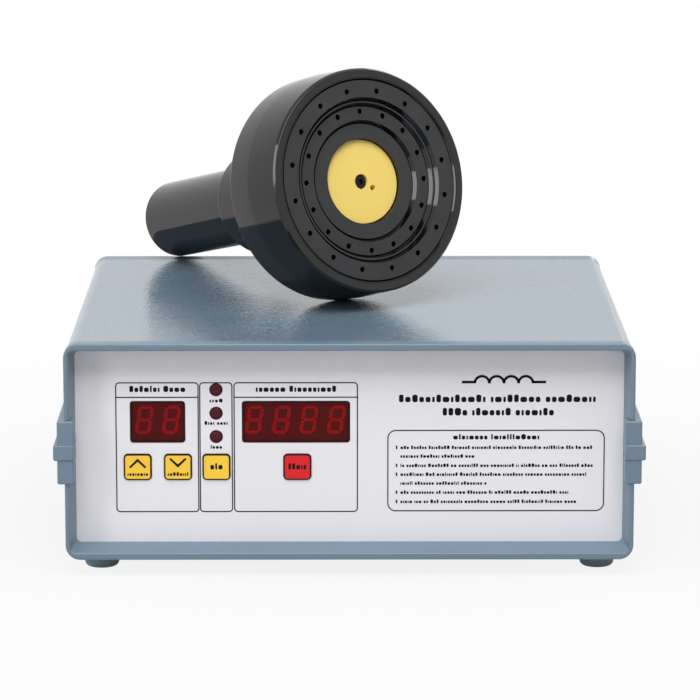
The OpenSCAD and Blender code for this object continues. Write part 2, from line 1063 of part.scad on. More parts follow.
module mains_inlet() {
    color(part_black) at_rear(inlet_x, inlet_z)
        difference() {
            union() {
                slab(0, inlet_flange_t)
                    rounded(inlet_flange_w, inlet_flange_h, 3);
                slab(-inlet_depth, eps)
                    inlet_outline(0);
            }
            slab(inlet_floor - inlet_depth, inlet_flange_t + eps)
                inlet_outline(inlet_wall);
            inlet_pin_places()
                slab(-eps, inlet_depth)
                    square([pin_t + fit, pin_w + fit], center = true);
            for (sx = [-1, 1])
                translate([sx * inlet_screw_x, 0, 0])
                    screw_hole(m3_r, -eps, inlet_flange_t + eps);
        }
}

module inlet_pins() {
    color(steel) at_rear(inlet_x, inlet_z)
        inlet_pin_places()
            slab(0, pin_len + inlet_floor)
                square([pin_t, pin_w], center = true);
}

module inlet_screws() {
    color(steel) at_rear(inlet_x, inlet_z)
        for (sx = [-1, 1])
            translate([sx * inlet_screw_x, 0, inlet_flange_t])
                m3_screw(inlet_flange_t + panel_t + 3);
}

rocker_w = switch_out_w - 2 * switch_wall - 2 * rocker_side_gap;

// Snap-in switch housing with a cavity and bearings for the rocker
module switch_body() {
    cavity_w = switch_out_w - 2 * switch_wall;
    cavity_h = switch_out_h - 2 * switch_wall;
    color(part_black) at_rear(switch_x, switch_z)
        difference() {
            union() {
                slab(0, switch_flange_t)
                    rounded(switch_out_w + 2 * switch_lap, switch_out_h + 2 * switch_lap, 1.5);
                slab(-switch_depth, eps)
                    square([switch_out_w, switch_out_h], center = true);
            }
            slab(-switch_depth / 2, switch_flange_t + eps)
                square([cavity_w, cavity_h], center = true);
            rotate([0, 90, 0])
                translate([0, 0, -cavity_w / 2 - switch_wall + 0.3])
                    cylinder(h = cavity_w + 2 * switch_wall - 0.6, r = rocker_pin_r + shaft_gap);
        }
}

// Rocker, off: its upper end stands out and its lower end is pressed in
module power_rocker() {
    rise = rocker_half * tan(rocker_tilt);
    pin_len_x = switch_out_w - 2 * 0.3 - 2 * shaft_gap;
    color(part_black) at_rear(switch_x, switch_z)
        rotate([rocker_tilt, 0, 0]) {
            translate([-rocker_w / 2, 0, 0])
                rotate([90, 0, 90])
                    linear_extrude(rocker_w)
                        polygon([
                            [-rocker_half, -rocker_back], [rocker_half, -rocker_back],
                            [rocker_half, rocker_front + rise], [0, rocker_front],
                            [-rocker_half, rocker_front + rise]
                        ]);
            rotate([0, 90, 0])
                cylinder(h = pin_len_x, r = rocker_pin_r, center = true);
        }
}

module fuse_holder() {
    color(part_black) at_rear(fuse_x, switch_z)
        difference() {
            union() {
                slab(0, fuse_flange_t)
                    circle(fuse_flange_r);
                slab(-fuse_depth, eps)
                    circle(fuse_r);
            }
            slab(1 - fuse_depth, fuse_flange_t + eps)
                circle(fuse_r - fuse_wall);
        }
}

// Bayonet cap with a coin slot
module fuse_cap() {
    low = fuse_flange_t + fuse_gap;
    color(part_black) at_rear(fuse_x, switch_z)
        difference() {
            union() {
                slab(low, low + fuse_cap_t)
                    circle(fuse_cap_r);
                slab(2 - fuse_depth, low + eps)
                    circle(fuse_r - fuse_wall - fuse_gap);
            }
            slab(low + fuse_cap_t - fuse_slot_d, low + fuse_cap_t + eps)
                square([2 * fuse_cap_r + 1, fuse_slot_w], center = true);
        }
}

// Gland body on the rear panel for the head's cable
module head_cable_gland() {
    color(part_black) at_rear(gland_x, gland_z)
        difference() {
            union() {
                cylinder(h = gland_hex_t, r = gland_hex_r, $fn = 6);
                slab(gland_hex_t - eps, gland_hex_t + gland_dome_t)
                    circle(gland_thread_r + gland_dome_wall);
                slab(-panel_t - gland_thread_len, eps)
                    circle(gland_thread_r);
            }
            slab(-panel_t - gland_thread_len - eps, gland_hex_t + gland_dome_t + eps)
                circle(cable_r);
        }
}

module gland_nut() {
    color(part_black) at_rear(gland_x, gland_z)
        difference() {
            translate([0, 0, -panel_t - gland_nut_t])
                cylinder(h = gland_nut_t, r = gland_hex_r, $fn = 6);
            slab(-panel_t - gland_nut_t - eps, eps - panel_t)
                circle(gland_thread_r + screw_gap);
        }
}

module power_board() {
    color(board_green) in_case()
        difference() {
            translate([power_x - power_w / 2, power_y - power_l / 2, power_z])
                cube([power_w, power_l, board_t]);
            power_corners()
                screw_hole(m3_r, power_z - eps, power_top + eps);
        }
}

module power_standoffs() {
    color(steel) in_case()
        power_corners()
            difference() {
                slab(floor_z, power_z)
                    circle(standoff_r);
                slab(floor_z + 1, power_z + eps)
                    circle(m3_r);
            }
}

module power_screws() {
    color(steel) in_case()
        power_corners()
            translate([0, 0, power_top])
                m3_screw(board_t + standoff_h - 2);
}

// Finned heat sink, lying along the case's depth
module heat_sink() {
    color(aluminium) in_case()
        translate([sink_x, power_y, power_top]) {
            translate([-sink_w / 2, -sink_l / 2, 0])
                cube([sink_base, sink_l, sink_h]);
            for (i = [0 : sink_fins - 1])
                translate([-sink_w / 2, -sink_l / 2, i * (sink_h - sink_fin_t) / (sink_fins - 1)])
                    cube([sink_w, sink_l, sink_fin_t]);
        }
}

module power_transistors() {
    color(part_black) in_case()
        for (i = [0 : transistor_count - 1])
            translate([
                sink_x - sink_w / 2 - transistor_t,
                power_y + (i - (transistor_count - 1) / 2) * transistor_pitch - transistor_w / 2,
                power_top + lead_len
            ]) {
                cube([transistor_t, transistor_w, transistor_h]);
                for (lead = [0.2, 0.5, 0.8])
                    translate([(transistor_t - lead_t) / 2, lead * transistor_w - lead_w / 2, -lead_len])
                        cube([lead_t, lead_w, lead_len + eps]);
            }
}

module capacitors() {
    color(head_black) in_case()
        for (i = [-1 : 1])
            translate([cap_x, power_y + i * cap_pitch, power_top])
                cylinder(h = cap_h, r = cap_r);
}

module rectifier() {
    rectifier_y = power_y + core_l / 2 + rectifier_w / 2 - rectifier_in;
    color(part_black) in_case()
        translate([core_x, rectifier_y, power_top + rectifier_h / 2])
            difference() {
                cube([rectifier_w, rectifier_w, rectifier_h], center = true);
                cylinder(h = 2 * rectifier_h, r = rectifier_bore_r, center = true);
            }
}

core_y = power_y - core_dy;

// Closed core of the matching transformer, with a leg through its winding
module transformer_core() {
    color(rubber_grey) in_case()
        translate([core_x, core_y, power_top + core_h / 2])
            rotate([0, 90, 0])
                translate([0, 0, -core_w / 4])
                    linear_extrude(core_w / 2)
                        difference() {
                            square([core_h, core_l], center = true);
                            for (sy = [-1, 1])
                                translate([0, sy * (core_l - 2 * core_leg + core_leg) / 4])
                                    square([core_h - core_leg, (core_l - 3 * core_leg) / 2], center = true);
                        }
}

module transformer_winding() {
    bobbin_h = core_h - core_leg - 2 * fit;
    inner_w = core_w / 2 + 2 * fit;
    inner_l = core_leg + 2 * fit;
    color(copper) in_case()
        translate([core_x, core_y, power_top + core_h / 2 - bobbin_h / 2])
            linear_extrude(bobbin_h)
                difference() {
                    square([inner_w + 2 * winding_wall, inner_l + 2 * winding_wall], center = true);
                    square([inner_w, inner_l], center = true);
                }
}

// Rounded rear edge of a turned piece of radius r that ends s behind the rim
edge_steps = 8;
function rear_edge(r, s) = [
    for (i = [0 : edge_steps])
        let (turn = -90 * i / edge_steps)
            [r - edge_r + edge_r * cos(turn), edge_r - s + edge_r * sin(turn)]
];

// Cup of the head: rim, creased side, sloping back and the seat of the face plate
module head_cup() {
    color(head_black) in_head()
        difference() {
            rotate_extrude()
                polygon([
                    [plate_r, 0], [rim_r - rim_bevel, 0], [rim_r, -rim_bevel], [crease_r, -crease_s],
                    each rear_edge(rear_r, cup_len), [back_r, -back_s], [lead_r, -back_s],
                    [lead_r, -cavity_s], [plate_r - seat_lip, -cavity_s], [plate_r - seat_lip, -plate_back_s],
                    [plate_r, -plate_back_s]
                ]);
            neck_screw_places()
                screw_hole(m3_r, -back_s - eps, -cavity_s + eps);
        }
}

ring_depths = [for (i = [0 : 3]) ring_1_s + i * step_s];
pocket_s = disc_s + disc_t;

// Stepped face plate with its two rings of holes
module face_plate() {
    color(head_black) in_head()
        difference() {
            rotate_extrude()
                polygon([
                    [0, -plate_back_s], [plate_r - fit, -plate_back_s], [plate_r - fit, -ring_depths[0]],
                    [ring_1_r, -ring_depths[0]], [ring_1_r, -ring_depths[1]], [ring_2_r, -ring_depths[1]],
                    [ring_2_r, -ring_depths[2]], [ring_3_r, -ring_depths[2]], [ring_3_r, -ring_depths[3]],
                    [pocket_r, -ring_depths[3]], [pocket_r, -pocket_s], [0, -pocket_s]
                ]);
            for (i = [0 : hole_count - 1]) {
                rotate([0, 0, outer_holes_turn + i * 360 / hole_count])
                    translate([outer_holes_r, 0, -ring_depths[0] - hole_depth])
                        cylinder(h = hole_depth + eps, r = hole_r);
                rotate([0, 0, middle_holes_turn + i * 360 / hole_count])
                    translate([middle_holes_r, 0, -ring_depths[2] - hole_depth])
                        cylinder(h = hole_depth + eps, r = hole_r);
            }
            screw_hole(stem_screw_r, -plate_back_s - eps, eps - pocket_s);
        }
}

module centre_disc() {
    color(disc_yellow) in_head()
        difference() {
            slab(-pocket_s, -disc_s)
                circle(pocket_r - disc_gap);
            slab(-pocket_s - eps, eps - disc_s)
                circle(disc_hole_r);
            rotate([0, 0, disc_small_turn])
                translate([disc_small_at, 0, 0])
                    slab(-pocket_s - eps, eps - disc_s)
                        circle(disc_small_r);
        }
}

former_s = plate_back_s + coil_t;
ferrite_s = former_s + former_t;
stack_s = ferrite_s + ferrite_t;

// Socket screw that holds the face stack through the disc's hole
module centre_screw() {
    color(steel) in_head()
        difference() {
            union() {
                slab(-pocket_s, stem_head_t - pocket_s)
                    circle(stem_head_r);
                slab(-stack_s, eps - pocket_s)
                    circle(stem_screw_r);
            }
            translate([0, 0, stem_head_t / 2 - pocket_s])
                cylinder(h = stem_head_t, r = stem_socket, $fn = 6);
        }
}

module work_coil() {
    color(copper) in_head()
        slab(-former_s, -plate_back_s)
            difference() {
                circle(stack_r - 2);
                circle(coil_in_r);
            }
}

module coil_former() {
    color(panel_white) in_head()
        slab(-ferrite_s, -former_s)
            difference() {
                circle(stack_r);
                circle(stem_screw_r + screw_gap);
            }
}

module ferrite_ring() {
    color(rubber_grey) in_head()
        slab(-stack_s, -ferrite_s)
            difference() {
                circle(stack_r);
                circle(stem_screw_r + screw_gap);
            }
}

module neck_screw_places() {
    for (i = [0 : neck_screw_count - 1])
        rotate([0, 0, 45 + i * 360 / neck_screw_count])
            translate([neck_screw_at, 0, 0])
                children();
}

// Collar between the cup and the handle
module neck_collar() {
    color(head_black) in_head()
        difference() {
            rotate_extrude()
                polygon([
                    [lead_r, -back_s], [neck_r, -back_s], each rear_edge(neck_r, neck_s),
                    [handle_r + fit, -neck_s], [handle_r + fit, -handle_in_s], [lead_r, -handle_in_s]
                ]);
            neck_screw_places()
                slab(-cavity_s - neck_screw_len - 1, eps - back_s)
                    circle(m3_r);
        }
}

module neck_screws() {
    color(steel) in_head()
        neck_screw_places()
            translate([0, 0, -cavity_s])
                m3_screw(neck_screw_len);
}

module handle_tube() {
    inner_r = handle_r - handle_wall;
    color(head_black) in_head()
        rotate_extrude()
            polygon([
                [inner_r, -handle_in_s], [handle_r, -handle_in_s], each rear_edge(handle_r, head_len),
                [inner_r, -head_len]
            ]);
}

module handle_plug() {
    color(head_black) in_head()
        slab(-head_len + plug_sunk, -head_len + plug_sunk + plug_t)
            difference() {
                circle(handle_r - handle_wall - fit / 2);
                circle(cable_r + grommet_wall + fit / 2);
            }
}

// Rubber bush of the cable's way out, with a lip outside the plug
module handle_grommet() {
    outer = plug_sunk - head_len;
    color(rubber_grey) in_head()
        difference() {
            union() {
                slab(outer, outer + plug_t)
                    circle(cable_r + grommet_wall);
                slab(outer - grommet_out - plug_sunk, outer)
                    circle(cable_r + grommet_wall + grommet_lip);
            }
            slab(outer - grommet_out - plug_sunk - eps, outer + plug_t + eps)
                circle(cable_r);
        }
}

top_cover();
bottom_cover();
front_bezel();
rear_bezel();
side_rail_left();
side_rail_right();
rail_screws();
feet();
foot_screws();
front_panel();
time_window();
output_window();
time_display();
output_display();
lamp_top();
lamp_middle();
lamp_bottom();
increase_key();
decrease_key();
set_key();
start_key();
control_board();
key_switches();
board_spacers();
control_screws();
rear_panel();
fan_frame();
fan_rotor();
fan_guard();
fan_screws();
mains_inlet();
inlet_pins();
inlet_screws();
switch_body();
power_rocker();
fuse_holder();
fuse_cap();
head_cable_gland();
gland_nut();
power_board();
power_standoffs();
power_screws();
heat_sink();
power_transistors();
capacitors();
rectifier();
transformer_core();
transformer_winding();
head_cup();
face_plate();
centre_disc();
centre_screw();
work_coil();
coil_former();
ferrite_ring();
neck_collar();
neck_screws();
handle_tube();
handle_plug();
handle_grommet();
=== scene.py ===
"""Dresses the bench cap sealer: a case with a keypad, and a sealing head that rests on its top."""

import logging
import math
import random
from collections.abc import Callable, Sequence
from dataclasses import dataclass, field, replace
from enum import Enum

import bmesh
import bpy
from bmesh.types import BMEdge, BMesh, BMVert
from mathutils import Matrix, Vector


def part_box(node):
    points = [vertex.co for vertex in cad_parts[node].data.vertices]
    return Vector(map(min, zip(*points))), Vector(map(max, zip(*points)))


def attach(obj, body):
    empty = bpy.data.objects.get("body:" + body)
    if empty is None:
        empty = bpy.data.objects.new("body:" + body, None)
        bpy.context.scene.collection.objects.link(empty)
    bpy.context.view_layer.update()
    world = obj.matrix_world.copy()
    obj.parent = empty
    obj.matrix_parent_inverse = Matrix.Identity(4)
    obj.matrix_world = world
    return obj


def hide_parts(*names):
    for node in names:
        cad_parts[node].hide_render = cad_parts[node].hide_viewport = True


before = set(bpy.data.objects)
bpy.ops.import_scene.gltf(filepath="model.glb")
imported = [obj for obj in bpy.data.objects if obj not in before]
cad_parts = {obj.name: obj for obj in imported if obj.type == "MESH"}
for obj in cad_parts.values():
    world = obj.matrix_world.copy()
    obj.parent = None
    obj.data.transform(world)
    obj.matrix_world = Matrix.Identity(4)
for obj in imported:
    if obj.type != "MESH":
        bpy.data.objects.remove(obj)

LOG = logging.getLogger("cap_sealer")
MM = 0.001
CASE = "case"
Colour = tuple[int, int, int]
Point = tuple[float, float]
Triple = tuple[float, float, float]
EdgeTest = Callable[[BMEdge], bool]
WHITE = (1.0, 1.0, 1.0, 1.0)

# Lengths in millimetres, as in all that follows up to the finished meshes
NEAR = 0.01
INK_LOW = -0.02
INK_HIGH = 0.05
SCREW_ROUND = 0.18

# Angles in degrees
SHARP = 32.0
CORNER = 30.0


class Grain(Enum):
    """The relief that a surface carries."""

    FINE = "fine"
    PEEL = "peel"
    TURNED = "turned"
    WEAVE = "weave"
    BRUSHED = "brushed"


COAT_ROUGHNESS = 0.08
LEAST_ROUGHNESS = 0.02
NOISE_LOW = 0.3
NOISE_HIGH = 0.7
MOTTLE_DETAIL = 3.0
WEAVE_SCALE = 0.3
WEAVE_DISTORTION = 1.5
STRETCH = {Grain.BRUSHED: (1.0, 0.03, 1.0), Grain.TURNED: (1.0, 1.0, 0.1)}


def linear(colour: Colour, gain: float = 1.0) -> tuple[float, float, float, float]:
    """Turns a screen colour into scene light.

    Args:
        colour: Red, green and blue from 0 to 255, as seen on a screen.
        gain: Factor on the resulting light.

    Returns:
        Red, green, blue and alpha for a shader socket.
    """
    parts = [c / 255 for c in colour]
    light = [c / 12.92 if c <= 0.04045 else ((c + 0.055) / 1.055) ** 2.4 for c in parts]
    return (*[min(1.0, gain * c) for c in light], 1.0)


@dataclass(frozen=True)
class Finish:
    """One finish of the sealer: its colour, its gloss and the relief of its surface.

    Sizes of grain and mottle are in millimetres. The mottle is a slight drift of colour and gloss.
    """

    name: str
    colour: Colour
    roughness: float = 0.45
    metallic: float = 0.0
    coat: float = 0.0
    transmission: float = 0.0
    ior: float = 1.5
    # Emission of the base colour, used only as a painted glow on display parts that are no lamps.
    glow: float = 0.0
    grain: Grain = Grain.FINE
    grain_mm: float = 0.4
    depth_mm: float = 0.01
    mottle: float = 0.06
    mottle_mm: float = 14.0
    gloss_drift: float = 0.05

    def material(self) -> bpy.types.Material:
        """Gives the material of this finish, made once."""
        known = bpy.data.materials.get(f"{self.name}_finish")
        return known if known else self._make()

    def _make(self) -> bpy.types.Material:
        """Builds the node tree of this finish.

        Returns:
            A new material.
        """
        material = bpy.data.materials.new(f"{self.name}_finish")
        material.use_nodes = True
        tree = material.node_tree
        shader = tree.nodes["Principled BSDF"]
        shader.inputs["Metallic"].default_value = self.metallic
        shader.inputs["Coat Weight"].default_value = self.coat
        shader.inputs["Coat Roughness"].default_value = COAT_ROUGHNESS
        shader.inputs["Transmission Weight"].default_value = self.transmission
        shader.inputs["IOR"].default_value = self.ior
        place = tree.nodes.new("ShaderNodeTexCoord").outputs["Object"]
        drift = self._noise(tree, place, self.mottle_mm, MOTTLE_DETAIL)
        ramp = tree.nodes.new("ShaderNodeValToRGB")
        ends = ((NOISE_LOW, 1 - self.mottle), (NOISE_HIGH, 1 + self.mottle))
        for stop, (at, gain) in zip(ramp.color_ramp.elements, ends):
            stop.position = at
            stop.color = linear(self.colour, gain)
        tree.links.new(drift.outputs["Fac"], ramp.inputs["Fac"])
        tree.links.new(ramp.outputs["Color"], shader.inputs["Base Color"])
        # Painted glow: the base colour also emits light where a finish has a glow.
        if self.glow:
            tree.links.new(ramp.outputs["Color"], shader.inputs["Emission Color"])
            shader.inputs["Emission Strength"].default_value = self.glow
        gloss = tree.nodes.new("ShaderNodeMapRange")
        gloss.inputs["From Min"].default_value = NOISE_LOW
        gloss.inputs["From Max"].default_value = NOISE_HIGH
        gloss.inputs["To Min"].default_value = max(LEAST_ROUGHNESS, self.roughness - self.gloss_drift)
        gloss.inputs["To Max"].default_value = min(1.0, self.roughness + self.gloss_drift)
        tree.links.new(drift.outputs["Fac"], gloss.inputs["Value"])
        tree.links.new(gloss.outputs["Result"], shader.inputs["Roughness"])
        self._relief(tree, place, shader)
        return material

    def _noise(self, tree: bpy.types.NodeTree, place: bpy.types.NodeSocket, size: float,
               detail: float) -> bpy.types.Node:
        """Adds a noise whose lumps are about a given size.

        Args:
            tree: The material's node tree.
            place: Socket with the coordinates to read.
            size: Size of a lump in millimetres.
            detail: How many finer octaves it has.

        Returns:
            The noise node.
        """
        noise = tree.nodes.new("ShaderNodeTexNoise")
        noise.inputs["Scale"].default_value = 1 / (size * MM)
        noise.inputs["Detail"].default_value = detail
        tree.links.new(place, noise.inputs["Vector"])
        return noise

    def _relief(self, tree: bpy.types.NodeTree, place: bpy.types.NodeSocket, shader: bpy.types.Node) -> None:
        """Adds the surface's relief to the shader's normal.

        Args:
            tree: The material's node tree.
            place: Socket with the object's coordinates.
            shader: The surface shader.
        """
        bump = tree.nodes.new("ShaderNodeBump")
        bump.inputs["Strength"].default_value = 1.0
        bump.inputs["Distance"].default_value = self.depth_mm * MM
        height = (self._weave if self.grain is Grain.WEAVE else self._lumps)(tree, place)
        tree.links.new(height, bump.inputs["Height"])
        tree.links.new(bump.outputs["Normal"], shader.inputs["Normal"])

    def _weave(self, tree: bpy.types.NodeTree, place: bpy.types.NodeSocket) -> bpy.types.NodeSocket:
        """Adds the relief of two crossed sets of threads.

        Args:
            tree: The material's node tree.
            place: Socket with the object's coordinates.

        Returns:
            Socket with the height.
        """
        both = tree.nodes.new("ShaderNodeMath")
        both.operation = "MAXIMUM"
        for thread, turn in enumerate((0.0, math.pi / 2)):
            mapping = tree.nodes.new("ShaderNodeMapping")
            mapping.inputs["Rotation"].default_value = (0.0, 0.0, turn)
            tree.links.new(place, mapping.inputs["Vector"])
            wave = tree.nodes.new("ShaderNodeTexWave")
            wave.inputs["Scale"].default_value = WEAVE_SCALE / (self.grain_mm * MM)
            wave.inputs["Distortion"].default_value = WEAVE_DISTORTION
            tree.links.new(mapping.outputs["Vector"], wave.inputs["Vector"])
            tree.links.new(wave.outputs["Fac"], both.inputs[thread])
        return both.outputs["Value"]

    def _lumps(self, tree: bpy.types.NodeTree, place: bpy.types.NodeSocket) -> bpy.types.NodeSocket:
        """Adds the relief of fine lumps, drawn out one way on a turned or brushed surface.

        Args:
            tree: The material's node tree.
            place: Socket with the object's coordinates.

        Returns:
            Socket with the height.
        """
        if self.grain in STRETCH:
            mapping = tree.nodes.new("ShaderNodeMapping")
            mapping.inputs["Scale"].default_value = STRETCH[self.grain]
            tree.links.new(place, mapping.inputs["Vector"])
            place = mapping.outputs["Vector"]
        detail = 1.0 if self.grain is Grain.PEEL else 2.0
        return self._noise(tree, place, self.grain_mm, detail).outputs["Fac"]


COVER = Finish("cover_paint", (114, 135, 152), 0.13, grain=Grain.PEEL, grain_mm=1.5, depth_mm=0.13,
               mottle=0.02, gloss_drift=0.03)
BEZEL = Finish("bezel_satin", (107, 128, 144), 0.36, grain_mm=0.25, depth_mm=0.006, mottle=0.03, mottle_mm=40)
PANEL = Finish("panel_film", (238, 236, 240), 0.5, grain_mm=0.2, depth_mm=0.006, mottle=0.012, mottle_mm=60)
INK = Finish("panel_ink", (10, 10, 12), 0.5, ior=1.2, grain_mm=0.2, depth_mm=0.004, mottle=0.1, mottle_mm=3)
WORD_INK = replace(INK, name="word_ink", colour=(14, 14, 16))
KEY_EDGE = replace(INK, name="key_edge", colour=(40, 22, 12))
YELLOW_KEY = Finish("yellow_key_film", (255, 207, 66), 0.42, ior=1.4, grain_mm=0.2, depth_mm=0.006,
                    mottle=0.03)
RED_KEY = replace(YELLOW_KEY, name="red_key_film", colour=(222, 30, 36), mottle=0.04)
FILTER = Finish("red_filter", (164, 37, 38), 0.08, transmission=0.9, ior=1.2, grain_mm=0.3, depth_mm=0.001,
                mottle=0.05)
LENS = Finish("lamp_lens", (78, 10, 26), 0.2, ior=1.3, grain_mm=0.3, depth_mm=0.002, mottle=0.15, mottle_mm=2)
# Painted glow: the unlit digit segments emit their colour, standing in for light that reaches them through
# the red filter.
SEGMENT_PAINTED_GLOW = Finish("display_segment_painted_glow", (190, 50, 50), 0.5, glow=0.85, grain_mm=0.3, depth_mm=0.002)
# Painted glow: the display bodies emit their colour, standing in for light that reaches them through the red
# filter.
DISPLAY_PAINTED_GLOW = Finish("display_resin_painted_glow", (92, 44, 38), 0.5, glow=0.35, grain_mm=0.3, depth_mm=0.004)
HEAD = Finish("head_gloss", (4, 4, 5), 0.07, ior=1.51, grain_mm=0.5, depth_mm=0.0015, mottle=0.12,
              gloss_drift=0.02)
BAND = replace(HEAD, name="cup_band_gloss", roughness=0.09, ior=1.42)
FACE = Finish("face_turned", (57, 57, 58), 0.36, ior=1.3, grain_mm=0.35, depth_mm=0.004, mottle=0.1)
DISC = Finish("disc_laminate", (255, 223, 121), 0.55, ior=1.3, grain=Grain.WEAVE, grain_mm=0.7,
              depth_mm=0.004, mottle=0.02)
RUBBER = Finish("foot_rubber", (128, 146, 156), 0.72, grain_mm=0.5, depth_mm=0.03, mottle=0.12, mottle_mm=5)
BUSH = replace(RUBBER, name="bush_rubber", colour=(40, 42, 44), roughness=0.68)
BLACK = Finish("moulded_black", (34, 34, 36), 0.42, grain_mm=0.45, depth_mm=0.012, mottle=0.12)
DARK_STEEL = Finish("dark_steel", (46, 43, 40), 0.42, metallic=1.0, depth_mm=0.006)
STEEL = Finish("bright_steel", (196, 198, 202), 0.28, metallic=1.0, grain=Grain.BRUSHED, grain_mm=0.3,
               depth_mm=0.004)
ALUMINIUM = Finish("sink_aluminium", (188, 190, 194), 0.4, metallic=1.0, grain=Grain.BRUSHED, grain_mm=0.5)
COPPER = Finish("copper_wire", (190, 112, 62), 0.35, metallic=1.0, grain=Grain.TURNED, grain_mm=0.8,
                depth_mm=0.2)
BOARD = Finish("board_laminate", (30, 92, 56), 0.4, coat=0.4, grain=Grain.WEAVE, grain_mm=0.6, mottle=0.1)
FERRITE = Finish("ferrite", (60, 60, 62), 0.6, grain_mm=0.8, depth_mm=0.03, mottle=0.15, mottle_mm=6)
FORMER = Finish("former_plastic", (224, 222, 214), mottle=0.03)
MARK = Finish("white_mark", (232, 232, 230), grain_mm=0.2, depth_mm=0.004, mottle=0.03)


def round_corners(bm: BMesh, corners: Sequence[BMVert], width: float, steps: int) -> None:
    """Rounds corners of a flat outline.

    Args:
        bm: The mesh.
        corners: The corners.
        width: How far from the corner the rounding starts.
        steps: Steps round each corner.
    """
    bmesh.ops.bevel(bm, geom=list(corners), offset=width, offset_type="OFFSET", segments=steps, profile=0.5,
                    affect="VERTICES", clamp_overlap=False, material=-1)


def shade(mesh: bpy.types.Mesh, sharp: float) -> None:
    """Shades a mesh smooth, apart from the edges sharper than this many degrees."""
    mesh.polygons.foreach_set("use_smooth", [True] * len(mesh.polygons))
    mesh.set_sharp_from_angle(angle=math.radians(sharp))


class Draft:
    """A mesh under work, in millimetres, with the operators that this object's pieces need."""

    def __init__(self) -> None:
        """Starts an empty mesh."""
        self.bm = bmesh.new()

    @classmethod
    def from_node(cls, node: str) -> "Draft":
        """Copies a CAD node with its triangles joined into faces.

        Args:
            node: Name of the node.

        Returns:
            The copy.
        """
        draft = cls()
        draft.bm.from_mesh(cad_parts[node].data)
        bmesh.ops.scale(draft.bm, vec=Vector((1, 1, 1)) / MM, verts=draft.bm.verts)
        bmesh.ops.remove_doubles(draft.bm, verts=draft.bm.verts, dist=0.002)
        bmesh.ops.dissolve_limit(draft.bm, angle_limit=math.radians(0.3), verts=draft.bm.verts,
                                 edges=draft.bm.edges)
        return draft

    @classmethod
    def turned(cls, section: Sequence[Triple], steps: int = 192) -> "Draft":
        """Turns a closed section round the Z axis.

        Args:
            section: Radius, depth below z = 0 and corner rounding of each point in order.
            steps: Number of steps round the axis.

        Returns:
            The turned solid.
        """
        draft = cls()
        bm = draft.bm
        verts = [bm.verts.new((r, 0.0, -s)) for r, s, _ in section]
        bm.faces.new(verts)
        for rounding in sorted({p[2] for p in section if p[2] > 0}):
            corners = [v for v, p in zip(verts, section) if p[2] == rounding]
            round_corners(bm, corners, rounding, 5)
        bmesh.ops.delete(bm, geom=bm.faces[:], context="FACES_ONLY")
        bmesh.ops.spin(bm, geom=bm.verts[:] + bm.edges[:], cent=(0, 0, 0), axis=(0, 0, 1), dvec=(0, 0, 0),
                       angle=2 * math.pi, steps=steps, use_merge=True)
        bmesh.ops.remove_doubles(bm, verts=bm.verts, dist=0.0005)
        bmesh.ops.recalc_face_normals(bm, faces=bm.faces)
        return draft

    @classmethod
    def shape(cls, points: Sequence[Point], low: float, high: float) -> "Draft":
        """Makes a flat plate from an outline.

        Args:
            points: Corners of the outline, anticlockwise.
            low: Height of its underside.
            high: Height of its upper face.

        Returns:
            The plate.
        """
        draft = cls()
        draft.bm.faces.new([draft.bm.verts.new((x, y, low)) for x, y in points])
        draft._thicken(high - low)
        return draft

    @classmethod
    def plate(cls, width: float, height: float, corner: float, low: float, high: float,
              line: float = 0.0, steps: int = 6) -> "Draft":
        """Makes a rounded plate, or a rounded frame where a line is given.

        Args:
            width: Size along X.
            height: Size along Y.
            corner: Corner radius.
            low: Height of its underside.
            high: Height of its upper face.
            line: Width of the frame's line, or 0 for a full plate.
            steps: Steps round each corner.

        Returns:
            The plate or frame, centred on the Z axis.
        """
        draft = cls()
        bm = draft.bm
        bmesh.ops.create_grid(bm, x_segments=1, y_segments=1, size=0.5)
        draft.moved(Matrix.Translation((0, 0, low)) @ Matrix.Diagonal((width, height, 1, 1)))
        if corner > 0:
            round_corners(bm, bm.verts, corner, steps)
        draft._frame_line(line)
        draft._thicken(high - low)
        return draft

    @classmethod
    def disc(cls, radius: float, low: float, high: float, line: float = 0.0, steps: int = 48) -> "Draft":
        """Makes a round plate, or a ring where a line is given.

        Args:
            radius: Outer radius.
            low: Height of its underside.
            high: Height of its upper face.
            line: Width of the ring's line, or 0 for a full plate.
            steps: Number of corners.

        Returns:
            The plate or ring, centred on the Z axis.
        """
        draft = cls()
        bm = draft.bm
        bmesh.ops.create_circle(bm, cap_ends=True, segments=steps, radius=radius)
        bmesh.ops.translate(bm, vec=(0, 0, low), verts=bm.verts)
        draft._frame_line(line)
        draft._thicken(high - low)
        return draft

    @classmethod
    def lofted(cls, rings: Sequence[tuple[float, float, float, float]], steps: int = 10) -> "Draft":
        """Joins rounded rectangles, each to the next and the last to the first.

        Args:
            rings: Half width, half height, corner radius and height of each rectangle in order. No two that
                follow each other have the same height and differ in size, as a bridge needs some rise.
            steps: Steps round each corner.

        Returns:
            The closed frame, round the Z axis.
        """
        draft = cls()
        bm = draft.bm
        loops = []
        for half_w, half_h, corner, height in rings:
            known = set(bm.verts)
            bmesh.ops.create_grid(bm, x_segments=1, y_segments=1, size=0.5)
            fresh = [v for v in bm.verts if v not in known]
            size = Matrix.Diagonal((2 * half_w, 2 * half_h, 1, 1))
            bmesh.ops.transform(bm, matrix=Matrix.Translation((0, 0, height)) @ size, verts=fresh)
            round_corners(bm, fresh, corner, steps)
            loops.append([e for face in bm.faces for e in face.edges])
            bmesh.ops.delete(bm, geom=bm.faces[:], context="FACES_ONLY")
        for here, there in zip(loops, loops[1:] + loops[:1]):
            bmesh.ops.bridge_loops(bm, edges=here + there)
        bmesh.ops.recalc_face_normals(bm, faces=bm.faces)
        return draft

